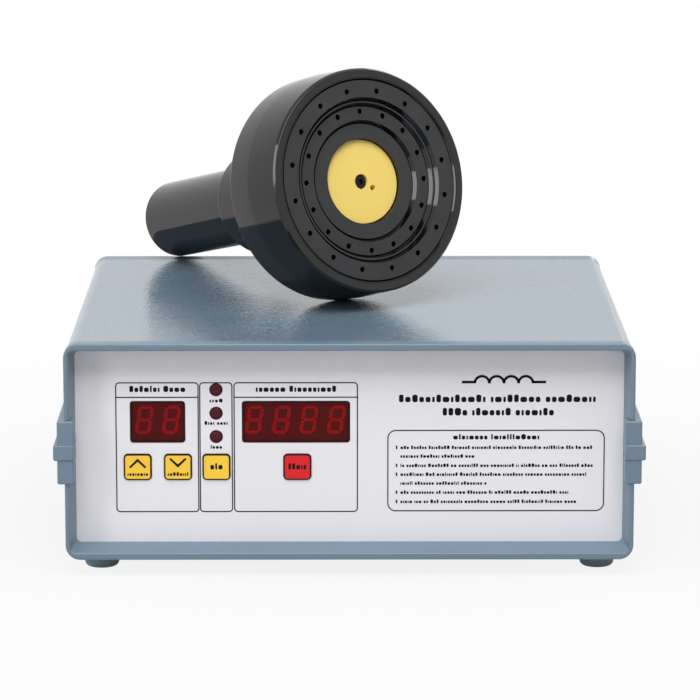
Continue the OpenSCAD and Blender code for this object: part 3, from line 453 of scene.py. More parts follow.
    def _frame_line(self, line: float) -> None:
        """Leaves only a line along the outline of the one face.

        Args:
            line: Width of the line, or 0 to leave the face as it is.
        """
        if line > 0:
            inner = list(self.bm.faces)
            bmesh.ops.inset_region(self.bm, faces=inner, thickness=line, use_even_offset=True,
                                   use_boundary=True)
            bmesh.ops.delete(self.bm, geom=inner, context="FACES")

    def _thicken(self, height: float) -> None:
        """Raises the flat faces to a closed plate.

        Args:
            height: How far the upper face is raised.
        """
        made = bmesh.ops.extrude_face_region(self.bm, geom=self.bm.faces[:], use_keep_orig=True)
        top = [v for v in made["geom"] if isinstance(v, bmesh.types.BMVert)]
        bmesh.ops.translate(self.bm, vec=(0, 0, height), verts=top)
        bmesh.ops.recalc_face_normals(self.bm, faces=self.bm.faces)

    def soften(self, width: float, segments: int = 3, pick: EdgeTest | None = None,
               angle: float = CORNER) -> "Draft":
        """Rounds the outward edges that are sharper than an angle.

        Args:
            width: Width of the rounding.
            segments: Number of steps across it.
            pick: Test that an edge has to pass, where only some are rounded.
            angle: Least angle between the faces, in degrees.

        Returns:
            This draft.
        """
        limit = math.radians(angle)
        edges = [e for e in self.bm.edges if len(e.link_faces) == 2 and e.calc_face_angle(0.0) > limit
                 and e.is_convex and (pick is None or pick(e))]
        bmesh.ops.bevel(self.bm, geom=edges, offset=width, offset_type="OFFSET", segments=segments,
                        profile=0.5, affect="EDGES", clamp_overlap=False, loop_slide=True, material=-1)
        return self

    def moved(self, matrix: Matrix) -> "Draft":
        """Carries the whole mesh by a matrix and gives it back."""
        bmesh.ops.transform(self.bm, matrix=matrix, verts=self.bm.verts)
        return self

    def add(self, other: "Draft") -> "Draft":
        """Takes another mesh in.

        Args:
            other: The mesh to take in, which is used up.

        Returns:
            This draft.
        """
        spare = bpy.data.meshes.new("spare")
        other.bm.to_mesh(spare)
        other.bm.free()
        self.bm.from_mesh(spare)
        bpy.data.meshes.remove(spare)
        return self

    def object(self, name: str, sharp: float = SHARP) -> bpy.types.Object:
        """Makes the object of this mesh, in metres.

        Args:
            name: Name of the object.
            sharp: Edges sharper than this many degrees stay sharp.

        Returns:
            The object, at the origin.
        """
        bmesh.ops.scale(self.bm, vec=Vector((MM, MM, MM)), verts=self.bm.verts)
        mesh = bpy.data.meshes.new(name)
        self.bm.to_mesh(mesh)
        self.bm.free()
        shade(mesh, sharp)
        made = bpy.data.objects.new(name, mesh)
        bpy.context.scene.collection.objects.link(made)
        return made


def dress(made: bpy.types.Object, finish: Finish, body: str = CASE,
          nodes: Sequence[str] = ()) -> None:
    """Gives a new piece its finish, its body and the CAD nodes that it stands for.

    Args:
        made: The piece.
        finish: Its finish.
        body: The body that it rides on.
        nodes: CAD nodes that it replaces.
    """
    made.data.materials.clear()
    made.data.materials.append(finish.material())
    even = made.modifiers.new("even_normals", "WEIGHTED_NORMAL")
    even.keep_sharp = True
    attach(made, body)
    if nodes:
        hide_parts(*nodes)
    LOG.info("%s: %d faces on %s", made.name, len(made.data.polygons), body)


def rework(node: str, name: str, finish: Finish, *, width: float = 0.0, segments: int = 3,
           pick: EdgeTest | None = None, angle: float = CORNER, body: str = CASE) -> bpy.types.Object:
    """Makes a dressed piece from a CAD node, with its edges rounded where a width is given.

    Args:
        node: The node, which the piece replaces.
        name: Name of the piece.
        finish: Its finish.
        width: Width of the rounding, or 0 for none.
        segments: Number of steps across it.
        pick: Test that an edge has to pass, where only some are rounded.
        angle: Least angle between the faces of a rounded edge, in degrees.
        body: The body that it rides on.

    Returns:
        The piece.
    """
    draft = Draft.from_node(node)
    if width > 0:
        draft.soften(width, segments, pick, angle)
    made = draft.object(name)
    dress(made, finish, body, [node])
    return made


def second_finish(made: bpy.types.Object, finish: Finish, choose: Callable[[Vector], bool]) -> None:
    """Gives some of a dressed piece's faces another finish.

    Args:
        made: The piece.
        finish: The other finish.
        choose: Test on a face's normal.
    """
    made.data.materials.append(finish.material())
    for polygon in made.data.polygons:
        if choose(polygon.normal):
            polygon.material_index = len(made.data.materials) - 1


def cut_away(made: bpy.types.Object, tool: bpy.types.Object) -> None:
    """Cuts a tool out of a piece and removes the tool.

    Args:
        made: The piece.
        tool: What is cut away.
    """
    cut = made.modifiers.new("cut", "BOOLEAN")
    cut.operation = "DIFFERENCE"
    cut.solver = "EXACT"
    cut.object = tool
    graph = bpy.context.evaluated_depsgraph_get()
    mesh = bpy.data.meshes.new_from_object(made.evaluated_get(graph))
    made.modifiers.clear()
    bm = bmesh.new()
    bm.from_mesh(mesh)
    bmesh.ops.dissolve_degenerate(bm, dist=NEAR / 10 * MM, edges=bm.edges)
    bm.to_mesh(mesh)
    bm.free()
    old, made.data = made.data, mesh
    bpy.data.meshes.remove(old)
    mesh.name = made.name
    shade(mesh, SHARP)
    bpy.data.objects.remove(tool)


def coat_nodes(finish: Finish, *nodes: str) -> None:
    """Gives CAD nodes that stay as they are a finish.

    Args:
        finish: The finish.
        nodes: Names of the nodes.
    """
    for node in nodes:
        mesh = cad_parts[node].data
        mesh.materials.clear()
        mesh.materials.append(finish.material())
        LOG.info("%s: solid kept, %s", node, finish.name)


def middle(edge: BMEdge) -> Vector:
    """Gives the middle of an edge."""
    return (edge.verts[0].co + edge.verts[1].co) / 2


def front_edges(node: str) -> EdgeTest:
    """Gives the test for the edges round a node's front face."""
    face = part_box(node)[0].y / MM
    return lambda edge: abs(middle(edge).y - face) < NEAR


@dataclass(frozen=True)
class CaseFrame:
    """Where the case sits, read from its solids."""

    front: float
    rear: float
    low: float
    high: float
    half: float
    panel: float
    back_panel: float

    @classmethod
    def read(cls) -> "CaseFrame":
        """Reads the bezels' and panels' places.

        Returns:
            The case's frame, in millimetres.
        """
        near, far = (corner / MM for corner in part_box("front_bezel"))
        return cls(front=near.y, rear=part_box("rear_bezel")[1].y / MM, low=near.z, high=far.z, half=far.x,
                   panel=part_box("front_panel")[0].y / MM, back_panel=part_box("rear_panel")[1].y / MM)

    def at_front(self, x: float = 0.0, z: float = 0.0) -> Matrix:
        """Gives the frame on the front panel's face: x right, y up, z out of the panel."""
        return Matrix.Translation((x, self.panel, self.low + z)) @ Matrix.Rotation(math.pi / 2, 4, "X")

    def at_rear(self, x: float = 0.0, z: float = 0.0) -> Matrix:
        """Gives the frame on the rear panel's face, seen from behind."""
        turn = Matrix.Rotation(math.pi, 4, "Z") @ Matrix.Rotation(math.pi / 2, 4, "X")
        return Matrix.Translation((-x, self.back_panel, self.low + z)) @ turn


@dataclass
class CaseShell:
    """Covers, bezels, side rails and feet."""

    at: CaseFrame
    corner: float = 7.2
    rise: float = 0.01
    band: float = 8.0
    spigot: float = 2.8
    depth: float = 14.0
    lean: float = 2.4
    rim_w: float = 2.3
    rim_h: float = 3.6
    inner_corner: float = 2.6
    rim_round: float = 0.85
    band_round: float = 0.35
    cover_in: float = 0.6
    slope: float = 6.0
    seam_round: float = 0.25
    cover_skin: float = 1.0
    notch_half: float = 16.05
    notch_in: float = 4.9
    notch_ahead: float = 1.0
    notch_past: float = 0.02
    rail_round: float = 0.95
    rail_reach: float = 8.0
    rail_end: float = 4.0
    rail_proud: float = 0.5
    rail_shortest: float = 1.2
    foot_round: float = 0.4
    foot_pad: float = 0.5

    def build(self) -> None:
        """Builds and dresses the whole shell."""
        for name, front in (("front_bezel", True), ("rear_bezel", False)):
            self._bezel(name, front)
        for name in ("top_cover", "bottom_cover"):
            self._cover(name)
        for name in ("side_rail_left", "side_rail_right"):
            self._rail(name)
        rework("feet", "rubber_feet", RUBBER, width=self.foot_round,
               pick=lambda edge: middle(edge).z > self.foot_pad)
        for name in ("rail_screws", "foot_screws"):
            rework(name, f"{name}_bright", STEEL, width=SCREW_ROUND, segments=2)

    def _bezel(self, node: str, front: bool) -> None:
        """Lofts a bezel: rounded rim, outer band, inner spigot and leaning recess, notched for the rails.

        The rear one's band slopes down to the covers, as no step shows there.

        Args:
            node: The bezel's node.
            front: True for the one at the front.
        """
        half_w, half_h = self.at.half, (self.at.high - self.at.low) / 2
        soft, edge = self.rim_round, self.band_round
        turns = [math.radians(a) for a in (0, 22.5, 45, 67.5, 90)]
        outside = [(soft - soft * math.sin(a), soft - soft * math.cos(a)) for a in turns]
        if front:
            outside += [(edge - edge * math.cos(a), self.band - edge + edge * math.sin(a))
                        for a in turns[::2]]
        else:
            outside += [(self.cover_in * k, self.band - self.slope * (1 - k)) for k in (0, 0.5, 1)]
        outside += [(self.spigot, self.band + self.rise), (self.spigot, self.depth)]
        rings = [(half_w - i, half_h - i, self.corner - i, -y) for i, y in outside]
        wide, tall, inner = half_w - self.rim_w, half_h - self.rim_h, self.inner_corner
        rings.append((wide - self.lean, tall - self.lean, inner, self.rise - self.depth))
        for a in reversed(turns):
            grow, y = soft - soft * math.sin(a), soft - soft * math.cos(a) + self.rise
            rings.append((wide + grow, tall + grow, inner + grow, -y))
        face, turn = (self.at.front, 0) if front else (self.at.rear, math.pi)
        place = Matrix.Translation((0, face, self.at.low + half_h)) @ Matrix.Rotation(turn, 4, "Z")
        place = place @ Matrix.Rotation(math.pi / 2, 4, "X")
        made = Draft.lofted(rings).moved(place).object(f"{node}_moulding")
        notch = Draft()
        for side in (-1, 1):
            box = Draft.plate(2 * self.notch_in, 2 * self.notch_half, 0, -self.band - self.notch_past,
                              self.notch_ahead)
            notch.add(box.moved(place @ Matrix.Translation((side * half_w, 0, 0))))
        cut_away(made, notch.object("notch"))
        dress(made, BEZEL if front else COVER, nodes=[node])

    def _cover(self, node: str) -> None:
        """Softens a cover's seams to the bezels.

        Args:
            node: The cover's node.
        """
        lo, hi = (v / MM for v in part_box(node))

        def is_seam(edge: BMEdge) -> bool:
            """Tells whether an edge lies along a bezel, on the outside.

            Args:
                edge: An edge of the cover.

            Returns:
                True for such an edge.
            """
            m = middle(edge)
            ends = min(abs(m.y - lo.y), abs(m.y - hi.y)) < NEAR
            skin = min(abs(m.x - lo.x), abs(m.x - hi.x), abs(m.z - lo.z), abs(m.z - hi.z))
            across = abs(edge.verts[0].co.y - edge.verts[1].co.y) < NEAR
            return ends and across and skin < self.cover_skin

        rework(node, f"{node}_painted", COVER, width=self.seam_round, segments=2,
               pick=is_seam)

    def _rail(self, node: str) -> None:
        """Rounds a rail's long edges and end blocks.

        Args:
            node: The rail's node.
        """
        rework(node, f"{node}_moulding", BEZEL, width=self.rail_round, segments=4,
               pick=self._is_outside, angle=60)

    def _is_outside(self, edge: BMEdge) -> bool:
        """Tells whether a rail's edge is a long one that shows outside the covers.

        Args:
            edge: An edge of the rail.

        Returns:
            True for such an edge.
        """
        if edge.calc_length() <= self.rail_shortest:
            return False
        m = middle(edge)
        end = m.y < self.at.front + self.rail_end or m.y > self.at.rear - self.rail_end
        return abs(m.x) > self.at.half + (-self.rail_reach if end else self.rail_proud)


@dataclass
class Keypad:
    """The front panel with its windows, lamps, keys and print.

    Places are from the case's middle and underside. A label has its middle, the blocks of each word, its
    height and its length. A key's word has its number of blocks, its length, its height and its place.
    """

    at: CaseFrame
    line: float = 0.58
    boxes: tuple[Point, ...] = ((-115.5, -74.35), (-74.1, -57.65), (-57.2, 4.2))
    box_z: Point = (21.0, 86.7)
    box_corner: float = 2.0
    rule_z: float = 79.1
    guide_box: tuple[float, float, float, float] = (18.7, 126.2, 21.3, 62.6)
    guide_corner: float = 4.2
    guide_left: float = 25.2
    guide_tall: float = 1.3
    guide_stretch: float = 1.3
    guide_number: Triple = (22.9, 23.7, 1.8)
    guide_lines: tuple[tuple[float, float, bool], ...] = (
        (53.5, 120.5, True), (49.1, 62.0, False), (44.4, 121.0, True), (39.9, 118.5, True),
        (35.4, 68.0, False), (30.8, 109.0, True), (26.1, 112.5, True))
    sign_spot: Point = (76.1, 86.0)
    lamp_x: float = -65.8
    lamp_zs: tuple[float, ...] = (59.3, 71.1, 82.9)
    lamp_ring: float = 3.3
    lamp_line: float = 0.36
    labels: tuple[tuple[float, float, tuple[int, ...], float, float], ...] = (
        (-94.7, 82.9, (7, 4), 2.2, 27.5), (-26.4, 82.9, (6, 10), 2.2, 39.5),
        (-65.8, 77.2, (4,), 1.35, 6.4), (-65.8, 65.9, (4, 4), 1.35, 11.4), (-65.8, 53.8, (4,), 1.35, 5.6),
        (72.9, 77.9, (14, 8, 8), 2.7, 97.0), (73.4, 71.2, (4, 7, 7), 2.7, 54.8),
        (72.5, 58.7, (8, 12), 1.9, 42.5))
    block_widths: tuple[float, ...] = (0.3, 0.55, 0.6, 0.65, 0.8)
    block_heights: tuple[float, ...] = (1.0, 1.0, 1.0, 1.4)
    block_gap: float = 0.2
    word_gap: float = 0.45
    window_round: float = 0.45
    key_round: float = 0.6
    key_z: float = 44.0
    key_xs: dict[str, float] = field(default_factory=lambda: {
        "increase": -104.7, "decrease": -84.8, "set": -65.8, "start": -25.8})
    key_words: dict[str, tuple[int, float, float, float]] = field(default_factory=lambda: {
        "increase": (8, 10.2, 1.3, -3.7), "decrease": (8, 10.2, 1.3, -3.7), "set": (3, 6.0, 2.3, 0.0),
        "start": (5, 8.8, 2.2, 0.0)})
    flat: float = 0.985
    digit_z: float = 60.9
    digit_slant: float = 9.0
    digit_xs: dict[str, tuple[float, ...]] = field(default_factory=lambda: {
        "time": (-105.4, -92.1), "output": (-51.1, -37.6, -24.1, -10.6)})

    def build(self) -> None:
        """Builds and dresses the whole keypad."""
        rework("front_panel", "front_panel_film", PANEL)
        for name in ("time_window", "output_window"):
            pane = rework(name, f"{name}_pane", FILTER, width=self.window_round, segments=2,
                          pick=front_edges(name))
            second_finish(pane, INK, lambda normal: abs(normal.y) < self.flat)
        for name in ("lamp_top", "lamp_middle", "lamp_bottom"):
            rework(name, f"{name}_lens", LENS)
        self._keys()
        self._print()
        self._words()
        for name, xs in self.digit_xs.items():
            self._digits(name, xs)
        # The display bodies carry a painted glow in place of the light that comes through the filter.
        coat_nodes(DISPLAY_PAINTED_GLOW, "time_display", "output_display")
        coat_nodes(BOARD, "control_board")
        coat_nodes(BLACK, "key_switches")
        coat_nodes(STEEL, "board_spacers", "control_screws")

    def _ink(self, draft: Draft, x: float, z: float) -> Draft:
        """Places a print mark on the panel's face."""
        return draft.moved(self.at.at_front(x, z))

    def _frame(self, left: float, right: float, low: float, high: float, corner: float) -> Draft:
        """Makes a printed frame on the panel.

        Args:
            left: Its left side.
            right: Its right side.
            low: Its lower side.
            high: Its upper side.
            corner: Its corner radius.

        Returns:
            The frame in place.
        """
        made = Draft.plate(right - left, high - low, corner, INK_LOW, INK_HIGH, self.line)
        return self._ink(made, (left + right) / 2, (low + high) / 2)

    def _print(self) -> None:
        """Prints the frames, the rules, the lamp rings and the coil sign."""
        sheet = Draft()
        low, high = self.box_z
        for left, right in self.boxes:
            sheet.add(self._frame(left, right, low, high, self.box_corner))
        for left, right in (self.boxes[0], self.boxes[2]):
            made = Draft.plate(right - left - self.line, self.line, 0, INK_LOW, INK_HIGH)
            sheet.add(self._ink(made, (left + right) / 2, self.rule_z))
        left, right, low, high = self.guide_box
        sheet.add(self._frame(left, right, low, high, self.guide_corner))
        for z in self.lamp_zs:
            ring = Draft.disc(self.lamp_ring, INK_LOW, INK_HIGH, self.lamp_line)
            sheet.add(self._ink(ring, self.lamp_x, z))
        sheet.add(self._ink(self._coil_sign(), *self.sign_spot))
        dress(sheet.object("panel_print"), INK)

    def _coil_sign(self) -> Draft:
        """Makes the general sign for a coil: four arches between two leads.

        Returns:
            The sign, with its foot line's middle on the Z axis.
        """
        arch, stroke, lead = 3.6, 1.3, 7.0
        sign = Draft()
        for middle_x in (-3 * arch, -arch, arch, 3 * arch):
            hoop = Draft.disc(arch + stroke / 2, INK_LOW, INK_HIGH, stroke)
            bmesh.ops.bisect_plane(hoop.bm, geom=hoop.bm.verts[:] + hoop.bm.edges[:] + hoop.bm.faces[:],
                                   plane_co=(0, 0, 0), plane_no=(0, -1, 0), clear_outer=True)
            bmesh.ops.edgeloop_fill(hoop.bm, edges=[e for e in hoop.bm.edges if e.is_boundary])
            sign.add(hoop.moved(Matrix.Translation((middle_x, 0, 0))))
        for side in (-1, 1):
            reach = 4 * arch + lead / 2 - stroke / 2
            made = Draft.plate(lead, stroke, 0.2, INK_LOW, INK_HIGH)
            sign.add(made.moved(Matrix.Translation((side * reach, stroke / 2, 0))))
        return sign

    def _words(self) -> None:
        """Prints rows of small blocks where the panel has words."""
        draw = random.Random(11)
        sheet = Draft()
        for x, z, words, tall, span in self.labels:
            row = self._row(draw, words, tall)
            start, scale = x - span / 2, span / row[-1][1]
            for left, right, high in row:
                sheet.add(self._block(start + left * scale, start + right * scale, z - tall / 2, high))
        start, scale = self.guide_left, self.guide_stretch
        for z, end, numbered in self.guide_lines:
            low = z - self.guide_tall / 2
            row = self._row(draw, [draw.randint(2, 9) for _ in range(24)], self.guide_tall)
            if numbered:
                left, right, high = self.guide_number
                sheet.add(self._block(left, right, low, high))
            for left, right, high in row:
                if right * scale + start < end:
                    sheet.add(self._block(left * scale + start, right * scale + start, low, high))
        dress(sheet.object("panel_words"), WORD_INK)

    def _row(self, draw: random.Random, words: Sequence[int], tall: float) -> list[Triple]:
        """Sets out a row of blocks that stands for words.

        Args:
            draw: Source of chance for their widths.
            words: Number of blocks in each word.
            tall: Height of a low block.

        Returns:
            Left end, right end and height of each block.
        """
        row = []
        start = 0.0
        for count in words:
            for _ in range(count):
                width = tall * draw.choice(self.block_widths)
                row.append((start, start + width, tall * draw.choice(self.block_heights)))
                start += width + self.block_gap * tall
            start += self.word_gap * tall
        return row

    def _block(self, left: float, right: float, low: float, height: float) -> Draft:
        """Makes one small printed block on the panel.

        Args:
            left: Its left side.
            right: Its right side.
            low: Its lower side.
            height: Its height.

        Returns:
            The block in place.
        """
        chip = self._chip(right - left, height, INK_LOW, INK_HIGH)
        return self._ink(chip, (left + right) / 2, low + height / 2)

    def _chip(self, width: float, height: float, low: float, high: float) -> Draft:
        """Makes a small block with cut corners.

        Args:
            width: Size along X.
            height: Size along Y.
            low: Height of its underside.
            high: Height of its upper face.

        Returns:
            The block, centred on the Z axis.
        """
        return Draft.plate(width, height, 0.25 * min(width, height), low, high, steps=1)

    def _keys(self) -> None:
        """Softens the keys, darkens their edges and prints their signs, which move with them."""
        for name, x in self.key_xs.items():
            node = f"{name}_key"
            finish, slot = (RED_KEY, "red_key") if name == "start" else (YELLOW_KEY, "yellow_key")
            made = rework(node, f"{node}_cap", finish, width=self.key_round, pick=front_edges(node),
                          body=node)
            second_finish(made, KEY_EDGE, lambda normal: normal.y > -self.flat)
            signs = Draft()
            for sign in self._key_signs(name, self.at.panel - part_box(node)[0].y / MM):
                signs.add(self._ink(sign, x, self.key_z))
            dress(signs.object(f"{node}_sign"), KEY_EDGE, node)

    def _key_signs(self, name: str, proud: float) -> list[Draft]:
        """Makes the signs of a key: an arrow head where it steps a value, and blocks for its word.

        Args:
            name: Which key.
            proud: Height of the key's face over the panel.

        Returns:
            The signs, centred on the key.
        """
        low, high = proud + INK_LOW, proud + INK_HIGH
        count, span, tall, base = self.key_words[name]
        row = self._row(random.Random(name), (count,), tall)
        signs = []
        for left, right, block in row:
            made = self._chip((right - left) * span / row[-1][1], block, low, high)
            x = (left + right) / 2 * span / row[-1][1] - span / 2
            signs.append(made.moved(Matrix.Translation((x, base + (block - tall) / 2, 0))))
        turn = {"increase": 1, "decrease": -1}.get(name, 0)
        if turn:
            half, rise, side, inner, peak, lift = 4.3, 3.9, 0.72, 1.3, 0.35, 2.1
            outline = [(-half, -rise / 2), (-half + side, -rise / 2 - side), (0, rise / 2 - inner),
                       (half - side, -rise / 2 - side), (half, -rise / 2), (0, rise / 2 + peak)]
            signs.append(Draft.shape([(x, lift + turn * y) for x, y in outline], low, high))
        return signs

    def _digits(self, name: str, xs: Sequence[float]) -> None:
        """Builds the unlit digits of a display, with a painted glow standing in for the light that reaches
        them through the red filter.

        Args:
            name: Which display.
            xs: Left end of each digit's foot.
        """
        face = self.at.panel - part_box(f"{name}_display")[0].y / MM
        wide, tall, stroke, gap = 6.2, 12.6, 1.75, 0.12
        lean = Matrix.Identity(4)
        lean[0][1] = math.tan(math.radians(self.digit_slant))
        places = [(wide / 2, 0, 0), (wide / 2, tall / 2, 0), (wide / 2, tall, 0)]
        places += [(x, tall * k, 90) for x in (0, wide) for k in (0.25, 0.75)]
        digits = Draft()
        half = stroke / 2
        for left in xs:
            for x, y, turn in places:
                reach = (wide if turn == 0 else tall / 2) / 2 - gap
                outline = [(-reach, 0), (-reach + half, -half), (reach - half, -half), (reach, 0),
                           (reach - half, half), (-reach + half, half)]
                part = Draft.shape(outline, face, face + INK_HIGH)
                part.moved(Matrix.Translation((x, y, 0)) @ Matrix.Rotation(math.radians(turn), 4, "Z"))
                digits.add(self._ink(part.moved(lean), left, self.digit_z))
        dress(digits.object(f"{name}_digits"), SEGMENT_PAINTED_GLOW)


@dataclass
class RearPanel:
    """The rear panel with its fan, mains inlet, switch, fuse and cable gland."""

    at: CaseFrame
    softened: dict[str, float] = field(default_factory=lambda: {
        "fan_frame": 0.4, "mains_inlet": 0.5, "switch_body": 0.35, "fuse_holder": 0.4,
        "head_cable_gland": 0.5, "gland_nut": 0.4})
    bright: tuple[str, ...] = ("fan_screws", "inlet_pins", "inlet_screws")
    shortest: float = 0.3
    switch_x: float = 80.0
    switch_z: float = 74.0
    rocker_lean: float = 12.0
    rocker_out: float = 2.4
    mark_y: float = 4.4

    def build(self) -> None:
        """Builds and dresses the rear panel."""
        rework("rear_panel", "rear_panel_film", PANEL)
        for node, width in self.softened.items():
            rework(node, f"{node}_moulding", BLACK, width=width, pick=self._is_long)
        for node in self.bright:
            rework(node, f"{node}_bright", STEEL, width=SCREW_ROUND, segments=2)
        rework("fan_guard", "fan_guard_wire", STEEL)
        rework("fan_rotor", "fan_rotor_blades", BLACK, width=0.2, segments=2, angle=50,
               body="fan_rotor")
        rework("power_rocker", "rocker_cap", BLACK, width=0.45, angle=20,
               body="power_rocker")
        self._rocker_marks()
        rework("fuse_cap", "fuse_cap_knob", BLACK, width=0.5, pick=self._is_long,
               body="fuse_cap")

    def _is_long(self, edge: BMEdge) -> bool:
        """Tells whether an edge is long enough to round."""
        return edge.calc_length() > self.shortest

    def _rocker_marks(self) -> None:
        """Prints a bar and a ring on the two halves of the switch's rocker, which they ride on."""
        lean = math.radians(self.rocker_lean)
        bar = Draft.plate(0.9, 3.8, 0.2, INK_LOW, INK_HIGH)
        ring = Draft.disc(2.0, INK_LOW, INK_HIGH, 0.7)
        marks = Draft()
        for mark, side in ((bar, 1), (ring, -1)):
            spot = Matrix.Translation((0, side * self.mark_y, self.rocker_out + self.mark_y * math.tan(lean)))
            marks.add(mark.moved(spot @ Matrix.Rotation(side * lean, 4, "X")))
        marks.moved(self.at.at_rear(self.switch_x, self.switch_z) @ Matrix.Rotation(lean, 4, "X"))
        dress(marks.object("rocker_marks"), MARK, "power_rocker")


@dataclass
class Electronics:
    """What sits inside the case and the head, and keeps the shape of its solids."""

    def build(self) -> None:
        """Gives the hidden solids their finishes."""
        coat_nodes(BOARD, "power_board")
        coat_nodes(STEEL, "power_standoffs", "power_screws", "neck_screws")
        coat_nodes(ALUMINIUM, "heat_sink")
        coat_nodes(BLACK, "power_transistors", "capacitors", "rectifier")
        coat_nodes(FERRITE, "transformer_core", "ferrite_ring")
        coat_nodes(COPPER, "transformer_winding", "work_coil")
        coat_nodes(FORMER, "coil_former")


@dataclass
class SealingHead:
    """The sealing head: cup, stepped face with its holes, disc, collar and handle.

    Names in _r are radii, and names in _s are depths behind the rim. A ring of holes has its radius, the
    depth of its step and the angle of its first hole.
    """

    centre: Triple = (11.1, -33.8690, 182.6)
    yaw: float = 33.2
    pitch: float = 13.34351
    plate_r: float = 53.0
    plate_gap: float = 0.2
    seat_r: float = 49.0
    cavity_s: float = 40.0
    rim_r: float = 57.7
    rim_flat: float = 1.0
    rim_fall: float = 1.4
    rim_round: float = 0.2
    crease_r: float = 58.6
    crease_s: float = 24.5
    rear_r: float = 58.2
    cup_len: float = 42.8
    back_r: float = 33.0
    back_s: float = 50.0
    back_round: float = 1.2
    band_slant: float = 0.3
    neck_r: float = 28.2
    neck_s: float = 107.0
    handle_r: float = 20.7
    head_len: float = 198.29
    edge_r: float = 1.6
    rear_cut: float = 1.18
    lead_r: float = 10.0
    handle_in_s: float = 75.0
    handle_wall: float = 3.5
    handle_gap: float = 0.2
    mouth_round: float = 0.5
    end_round: float = 0.4
    round_steps: int = 128
    ring_rs: tuple[float, ...] = (42.6, 40.0, 31.3, 22.0)
    ring_ss: tuple[float, ...] = (0.8, 2.6, 4.4, 6.2)
    lip: float = 0.3
    wall_slope: float = 0.64
    painted_shade_slant: float = 0.8
    dip: float = 0.6
    pocket_s: float = 12.6
    plate_back_s: float = 16.0
    screw_r: float = 2.1
    hole_r: float = 1.35
    hole_flare: float = 0.1
    hole_depth: float = 6.0
    hole_steps: int = 24
    holes: tuple[Triple, ...] = ((46.4, 0.8, 98.5), (35.8, 4.4, 109.7))
    hole_count: int = 16

    def build(self) -> None:
        """Builds and dresses the whole head."""
        self._cup()
        self._face()
        self._handle()
        rework("centre_disc", "centre_disc_sheet", DISC, width=0.25, segments=2)
        rework("centre_screw", "centre_screw_dark", DARK_STEEL, width=0.2, segments=2)
        rework("handle_grommet", "handle_bush", BUSH, width=0.5)
        rework("handle_plug", "handle_end_plug", BLACK, width=0.3, segments=2)

    def _place(self) -> Matrix:
        """Gives the head's own frame, z out of its face."""
        turn = Matrix.Rotation(math.radians(self.yaw), 4, "Z")
        return Matrix.Translation(self.centre) @ turn @ Matrix.Rotation(math.radians(90 - self.pitch), 4, "X")

    def _axis(self) -> Vector:
        """Gives the direction out of the head's face."""
        return self._place().to_3x3().col[2].normalized()

    def _cup(self) -> None:
        """Turns the cup with its creased side and sloping back."""
        section = [
            (self.plate_r, 0, 0), (self.rim_r - self.rim_flat, 0, self.rim_round),
            (self.rim_r, self.rim_fall, self.rim_round), (self.crease_r, self.crease_s, 0),
            (self.rear_r, self.cup_len, self.rear_cut), (self.back_r, self.back_s, self.back_round),
            (self.lead_r, self.back_s, 0), (self.lead_r, self.cavity_s, 0), (self.seat_r, self.cavity_s, 0),
            (self.seat_r, self.plate_back_s, 0), (self.plate_r, self.plate_back_s, 0),
        ]
        made = Draft.turned(section).moved(self._place()).object("head_cup_gloss", sharp=25)
        dress(made, HEAD, nodes=["head_cup"])
        axis = self._axis()
        second_finish(made, BAND, lambda normal: 0 < normal.dot(axis) < self.band_slant)

    def _face(self) -> None:
        """Turns the stepped face, drills its two rings of holes and paints shade on its step walls with the
        head's black gloss.
        """
        (r1, r2, r3, r4), (s1, s2, s3, s4) = self.ring_rs, self.ring_ss
        border, back = self.plate_r - self.plate_gap, self.plate_back_s
        section = [(self.screw_r, back, 0), (border, back, 0), (border, 0, 0)]
        for radius, high, low in ((border - self.lip, 0, s1), (r1, s1, s2), (r2, s2, s3), (r3, s3, s4)):
            foot = radius - self.wall_slope * (low + self.dip - high)
            section += [(radius, high, 0), (foot, low + self.dip, 0), (foot - self.dip / 4, low, 0)]
        section += [(r4, s4, 0), (r4, self.pocket_s, 0), (self.screw_r, self.pocket_s, 0)]
        made = Draft.turned(section).moved(self._place()).object("face_plate_turned")
        cut_away(made, self._drill().object("drill"))
        dress(made, FACE, nodes=["face_plate"])
        axis = self._axis()
        # Painted shade: the step walls take the near-black head gloss in place of the face's grey, standing
        # in for the shadow and dark reflection in the steps.
        second_finish(made, HEAD, lambda normal: abs(normal.dot(axis)) < self.painted_shade_slant)

    def _drill(self) -> Draft:
        """Makes what is drilled out of the face.

        Returns:
            A flared bit in each hole.
        """
        radius, flare, deep, ahead = self.hole_r, self.hole_flare, self.hole_depth, 1.0
        section = [(0, -ahead, 0), (radius + 2 * flare, -ahead, 0), (radius + flare, 0, 0),
                   (radius, flare, 0), (radius, deep, 0), (0, deep, 0)]
        drill = Draft()
        for ring_r, depth, turn in self.holes:
            for i in range(self.hole_count):
                angle = math.radians(turn + i * 360 / self.hole_count)
                spot = Matrix.Translation((ring_r * math.cos(angle), ring_r * math.sin(angle), -depth))
                drill.add(Draft.turned(section, self.hole_steps).moved(self._place() @ spot))
        return drill

    def _handle(self) -> None:
        """Turns the collar and the handle."""
        bore, inner = self.handle_r + self.handle_gap, self.handle_r - self.handle_wall
        collar = [
            (self.lead_r, self.back_s, 0), (self.neck_r, self.back_s, 0),
            (self.neck_r, self.neck_s, self.edge_r), (bore, self.neck_s, self.mouth_round),
            (bore, self.handle_in_s, 0), (self.lead_r, self.handle_in_s, 0),
        ]
        tube = [
            (inner, self.handle_in_s, 0), (self.handle_r, self.handle_in_s, 0),
            (self.handle_r, self.head_len, self.edge_r), (inner, self.head_len, self.end_round),
        ]
        for node, section in (("neck_collar", collar), ("handle_tube", tube)):
            draft = Draft.turned(section, self.round_steps).moved(self._place())
            dress(draft.object(f"{node}_gloss"), HEAD, nodes=[node])


